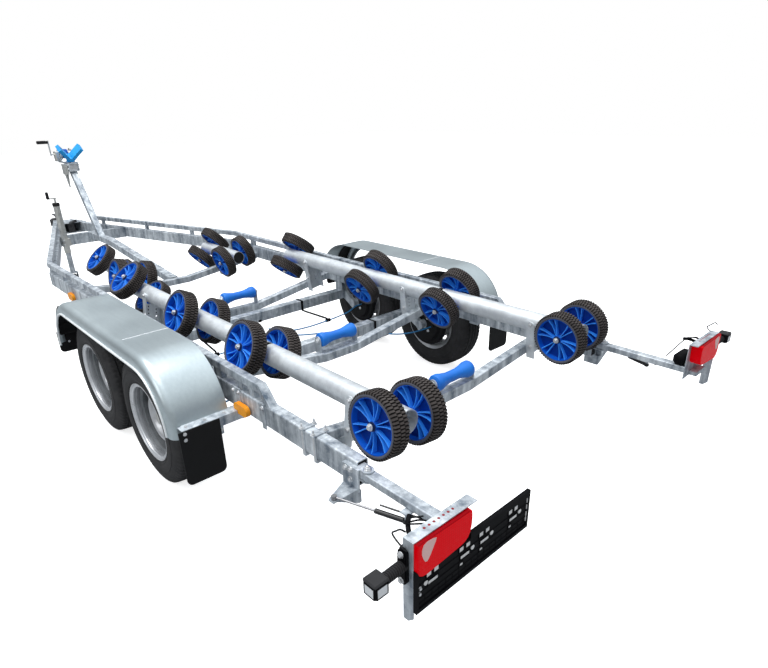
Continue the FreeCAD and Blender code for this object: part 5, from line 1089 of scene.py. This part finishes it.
def add_clamps(shape, side):
    """Clamps that hold the rear cross tube to one side beam, with their straps and gussets."""
    for x in U_BOLT_X:
        shape.rod([(x, y, z) for y, z in U_BOLT], 0.0042, 8, "bolt", side)
        shape.bolts([(x, 823.6, 580.6), (x, 766.4, 580.6)], UP, 0.0075, 0.2, side, 0.006)
        shape.block((x - 11, 758, 575.2), (x + 11, 832, 580.6), "galvanised", side, 1.2)
        shape.block((x - 10, 766, 458), (x + 10, 824, 474.6), "galvanised", side, 3.0)
        shape.block((x - 9, 820.3, 462), (x + 9, 823.4, 578), "galvanised", side, 0.8)
    shape.block((-1036, 820.3, 462), (-1010, 825.4, 580), "galvanised", side, 1.0)
    shape.bolts([(-1023, 825.4, 560)], ACROSS, 0.008, 0.2, side)
    for depths in GUSSET_LAYERS:
        shape.add(layers(GUSSET, depths, side), "galvanised")


def add_post_bolts(shape, side):
    """Bolts at the top and the foot of each post, square to its slanted cross tube."""
    for x, y, z, low, high, back, front in POSTS:
        lean = math.atan((high - low) / CROSS_TUBE_REACH)
        c, s = math.cos(lean), math.sin(lean)
        for end in (-1, 1):
            out = end * POST_BOLT_OUT
            places = [(x + (back + front) / 2, y + out * c - up * s, z + out * s + up * c)
                      for up in POST_BOLT_HEIGHTS]
            shape.bolts(places, (0, end * c, end * s), 0.0088, 0.3, side)


def make_frame_bolts():
    """Clamps of the rear cross tube, near-black plugs of painted shade in the tube ends, and the bolts of posts,
    winch post, nose and hinges.
    """
    clamps, shade_plugs, posts, small = Shape(), Shape(), Shape(), Shape()
    for side in (-1, 1):
        add_clamps(clamps, side)
        # a near-black block and discs close the open tube ends: painted shade for the hollows
        shade_plugs.block((-1617, 774.6, 479.6), (-1611, 815.4, 570.4), "hollow", side, 1.0)
        for place in ROLLER_TUBE_ENDS:
            shade_plugs.turned(pin_profile(0.0456, 0.0015), 28, "hollow", place, AHEAD, side)
        add_post_bolts(posts, side)
        for places, axis, radius, turn, end in FRAME_BOLTS:
            small.bolts(places, axis, radius, turn, side, end)
        for x in (4345, 4440, 4535):
            reach = NOSE_HALF + (NOSE_X - x) * NOSE_SLOPE
            small.bolts([(x, reach, 583.1)], UP, 0.0095, 0.4, side)
            small.bolts([(x, reach + 26.2, 526)], (0.2805, 0.9598, 0), 0.009, 0.1, side)
    clamps.piece("beam_clamps", "chassis", "zinc")
    shade_plugs.piece("openings_painted_shade", "chassis", "galvanised")
    posts.piece("post_bolts", "chassis", "zinc")
    small.piece("frame_bolts", "chassis", "zinc")


# Winch and jack, in mm: the drum's middle, the crank's grip, and the jack's foot, collars and crank handle
DRUM = (3905, 0, 1325)
WINCH_GRIP = (3905, 134, 1441.4)
RATCHET = (3905, 44, 1325)
RATCHET_TEETH = 28
STRAP_LINE = [(3868, 0, 1312), (3840, 0, 1304), (3815, 0, 1301), (3796, 0, 1296)]
WINCH_BOLTS = ([(3905, 60.1, 1325)], 0.013, 0.2), ([(3862, 60.1, 1262), (3948, 60.1, 1262)], 0.0075, 0.4)
SADDLE_PLATE = [(50, 1134), (86, 1134), (70, 1010), (60, 1010)]
JACK_HEAD = (3500, 300, 905)
JACK_HANDLE = (3500, 358, 950)
JACK_COLLARS = (505, 545)
# Profiles in metres, as (place along the axis, radius)
GRIP_PROFILE = ((0, 0.0), (0, 0.0125), (0.006, 0.0155), (0.016, 0.0152), (0.05, 0.0155), (0.086, 0.0152),
                (0.098, 0.0155), (0.1015, 0.011), (0.1015, 0))
STRAP_PROFILE = ((-0.022, 0.0305), (-0.022, 0.043), (-0.012, 0.045), (0.02, 0.045), (0.03, 0.043),
                 (0.03, 0.0305))
HEAD_PROFILE = ((0.002, 0.0), (0.002, 0.031), (-0.004, 0.033), (-0.026, 0.033), (-0.028, 0.0305))
HANDLE_PROFILE = ((0, 0.0125), (0, 0.0145), (0.06, 0.0135), (0.063, 0.010), (0.063, 0.0))
COLLAR_PROFILE = ((0.0, 0.0305), (0.0, 0.0345), (0.012, 0.0345), (0.012, 0.0305))


def make_front_trim():
    """Grip, strap, ratchet teeth, housing and clamp of the winch, and the jack's cap, handle and collars."""
    winch = Shape()
    winch.turned(GRIP_PROFILE, 20, "grip_black", WINCH_GRIP, ACROSS)
    winch.turned(STRAP_PROFILE, 32, "strap_blue", DRUM, ACROSS, closed=True)
    tooth = soft_block((0.050, -0.005, -0.0026), (0.0555, 0.005, 0.0026), 0.0008)
    for number in range(RATCHET_TEETH):
        turn = Matrix.Rotation(2 * math.pi * number / RATCHET_TEETH, 4, "Y")
        winch.add(tooth, "bolt", Matrix.Translation(at(*RATCHET)) @ turn)
    winch.piece("winch_grip_and_strap", "winch", "black_plastic")
    fixed = Shape()
    fixed.rod(STRAP_LINE, 0.005, 8, "strap_blue", curved=True)
    for side in (-1, 1):
        for places, radius, turn in WINCH_BOLTS:
            fixed.bolts(places, ACROSS, radius, turn, side)
    fixed.block((3716, -40, 1172), (3824, 40, 1236), "bolt", 1, 2.0)
    fixed.block((3862, 62, 1256), (3948, 100, 1352), "zinc", 1, 5.0)
    fixed.block((3724, 50, 1134), (3816, 86, 1238), "zinc", 1, 4.0)
    fixed.add(layers(SADDLE_PLATE, ((3757, 0.0), (3763, 0.0))), "zinc")
    fixed.piece("winch_bolts", "chassis", "zinc")
    jack = Shape()
    jack.turned(HEAD_PROFILE, 28, "grip_black", JACK_HEAD)
    jack.turned(HANDLE_PROFILE, 20, "grip_black", JACK_HANDLE)
    for z in JACK_COLLARS:
        jack.turned(COLLAR_PROFILE, 28, "bolt", (JACK_HEAD[0], JACK_HEAD[1], z - 6), closed=True)
        jack.bolts([(3476, 311, z)], ACROSS, 0.008, 0.2)
    jack.piece("jack_trim", "chassis", "zinc")


# Cable holders, in mm: middle of the band along X and Y, and where the front one's rod ends
FRONT_HOLDER = (470, 400)
REAR_HOLDER = (-242, 474)
ROD_END = (178, 432, 331)
BAND_HALF = (34.6, 9)
BAND_LOW, BAND_HIGH = 349, 417.3
CABLE_CLIP = ((-0.016, 0.0048), (-0.016, 0.012), (0.016, 0.012), (0.016, 0.0048))


def make_cable_holders():
    """Black bands on the axle tubes, the front one with a rod for its cable and the rear one with a foot."""
    shape = Shape()
    for side in (-1, 1):
        for x, y in (FRONT_HOLDER, REAR_HOLDER):
            x0, x1, y0, y1 = x - BAND_HALF[0], x + BAND_HALF[0], y - BAND_HALF[1], y + BAND_HALF[1]
            for low, high in (((x0, y0, BAND_LOW), (x0 + 2.4, y1, BAND_HIGH)),
                              ((x1 - 2.4, y0, BAND_LOW), (x1, y1, BAND_HIGH)),
                              ((x0, y0, BAND_LOW), (x1, y1, BAND_LOW + 1.8)),
                              ((x0, y0, BAND_HIGH - 1.8), (x1, y1, BAND_HIGH))):
                shape.block(low, high, "black_plastic", side, 0.5)
        x, y = FRONT_HOLDER
        end_x, end_y, end_z = ROD_END
        shape.rod([(x - 30, y, 346), (x - 60, y + 2, 344), (end_x + 20, end_y - 6, 338), ROD_END], 0.0064, 10,
                  "black_plastic", side)
        shape.turned(CABLE_CLIP, 16, "black_plastic", (end_x, end_y, end_z - 6), ACROSS, side, closed=True)
        x, y = REAR_HOLDER
        shape.block((x - 12, y - 9, 319), (x + 12, y + 9, 350), "black_plastic", side, 2.0)
        shape.block((434.5, 30, 346), (452, 56, 364), "black_plastic", side, 3.0)
    shape.piece("cable_holders", "chassis", "black_plastic")


# Floor and lights, in metres and watts
FLOOR_SIZE = 60.0
LIGHTS = (("key", (-0.8, 1.8, 7.5), 5.0, 330.0), ("side", (-2.0, 7.5, 4.5), 4.0, 70.0))


def make_world():
    """White to the camera, and a pale sky that is brighter overhead as light."""
    world = bpy.data.worlds.new("studio")
    bpy.context.scene.world = world
    world.use_nodes = True
    g = Graph(world.node_tree)
    back = world.node_tree.nodes["Background"]
    direction = g.node("ShaderNodeTexCoord", output="Generated")
    up = g.parts(direction)[2]
    sky = 0.22 + 1.6 * g.span(up, 0.0, 1.0) ** 1.4
    camera = g.node("ShaderNodeLightPath", output="Is Camera Ray")
    g.feed(back.inputs["Strength"], camera + (1.0 - camera) * sky)
    g.feed(back.inputs["Color"], g.mix(camera, (0.93, 0.965, 1.0), (1.0, 1.0, 1.0)))


def make_floor():
    """Pale floor that glows a little to the camera, so that it runs out into white."""
    f = Finish("floor", Roughness=0.9, Specular_IOR_Level=0.0)
    ray = f.node("ShaderNodeLightPath", output="Is Camera Ray")
    f.set("Base Color", f.mix(ray, (0.34, 0.35, 0.36), (0.8, 0.8, 0.8)))
    f.set("Emission Color", (1.0, 1.0, 1.0, 1.0))
    f.set("Emission Strength", 0.75 * ray)
    mesh = bpy.data.meshes.new("floor")
    work = bmesh.new()
    bmesh.ops.create_grid(work, x_segments=1, y_segments=1, size=FLOOR_SIZE / 2)
    work.to_mesh(mesh)
    work.free()
    mesh.materials.append(f.material)
    floor = bpy.data.objects.new("floor", mesh)
    floor.location.z = -0.001
    bpy.context.scene.collection.objects.link(floor)


def make_lights():
    for name, place, size, power in LIGHTS:
        data = bpy.data.lights.new(name, "AREA")
        data.shape = "DISK"
        data.size = size
        data.energy = power
        lamp = bpy.data.objects.new(name, data)
        lamp.location = place
        lamp.rotation_euler = Vector(place).to_track_quat("Z", "Y").to_euler()
        bpy.context.scene.collection.objects.link(lamp)


make_camera()
make_world()
make_floor()
make_lights()
bpy.context.scene.view_settings.view_transform = "Standard"
dress_frame()
make_rollers()
make_road_wheels()
make_keel_rollers()
make_lamps()
make_marker_lamps()
make_holder_relief()
make_arm_trim()
make_guard_trim()
make_brake_covers()
make_frame_bolts()
make_front_trim()
make_cable_holders()
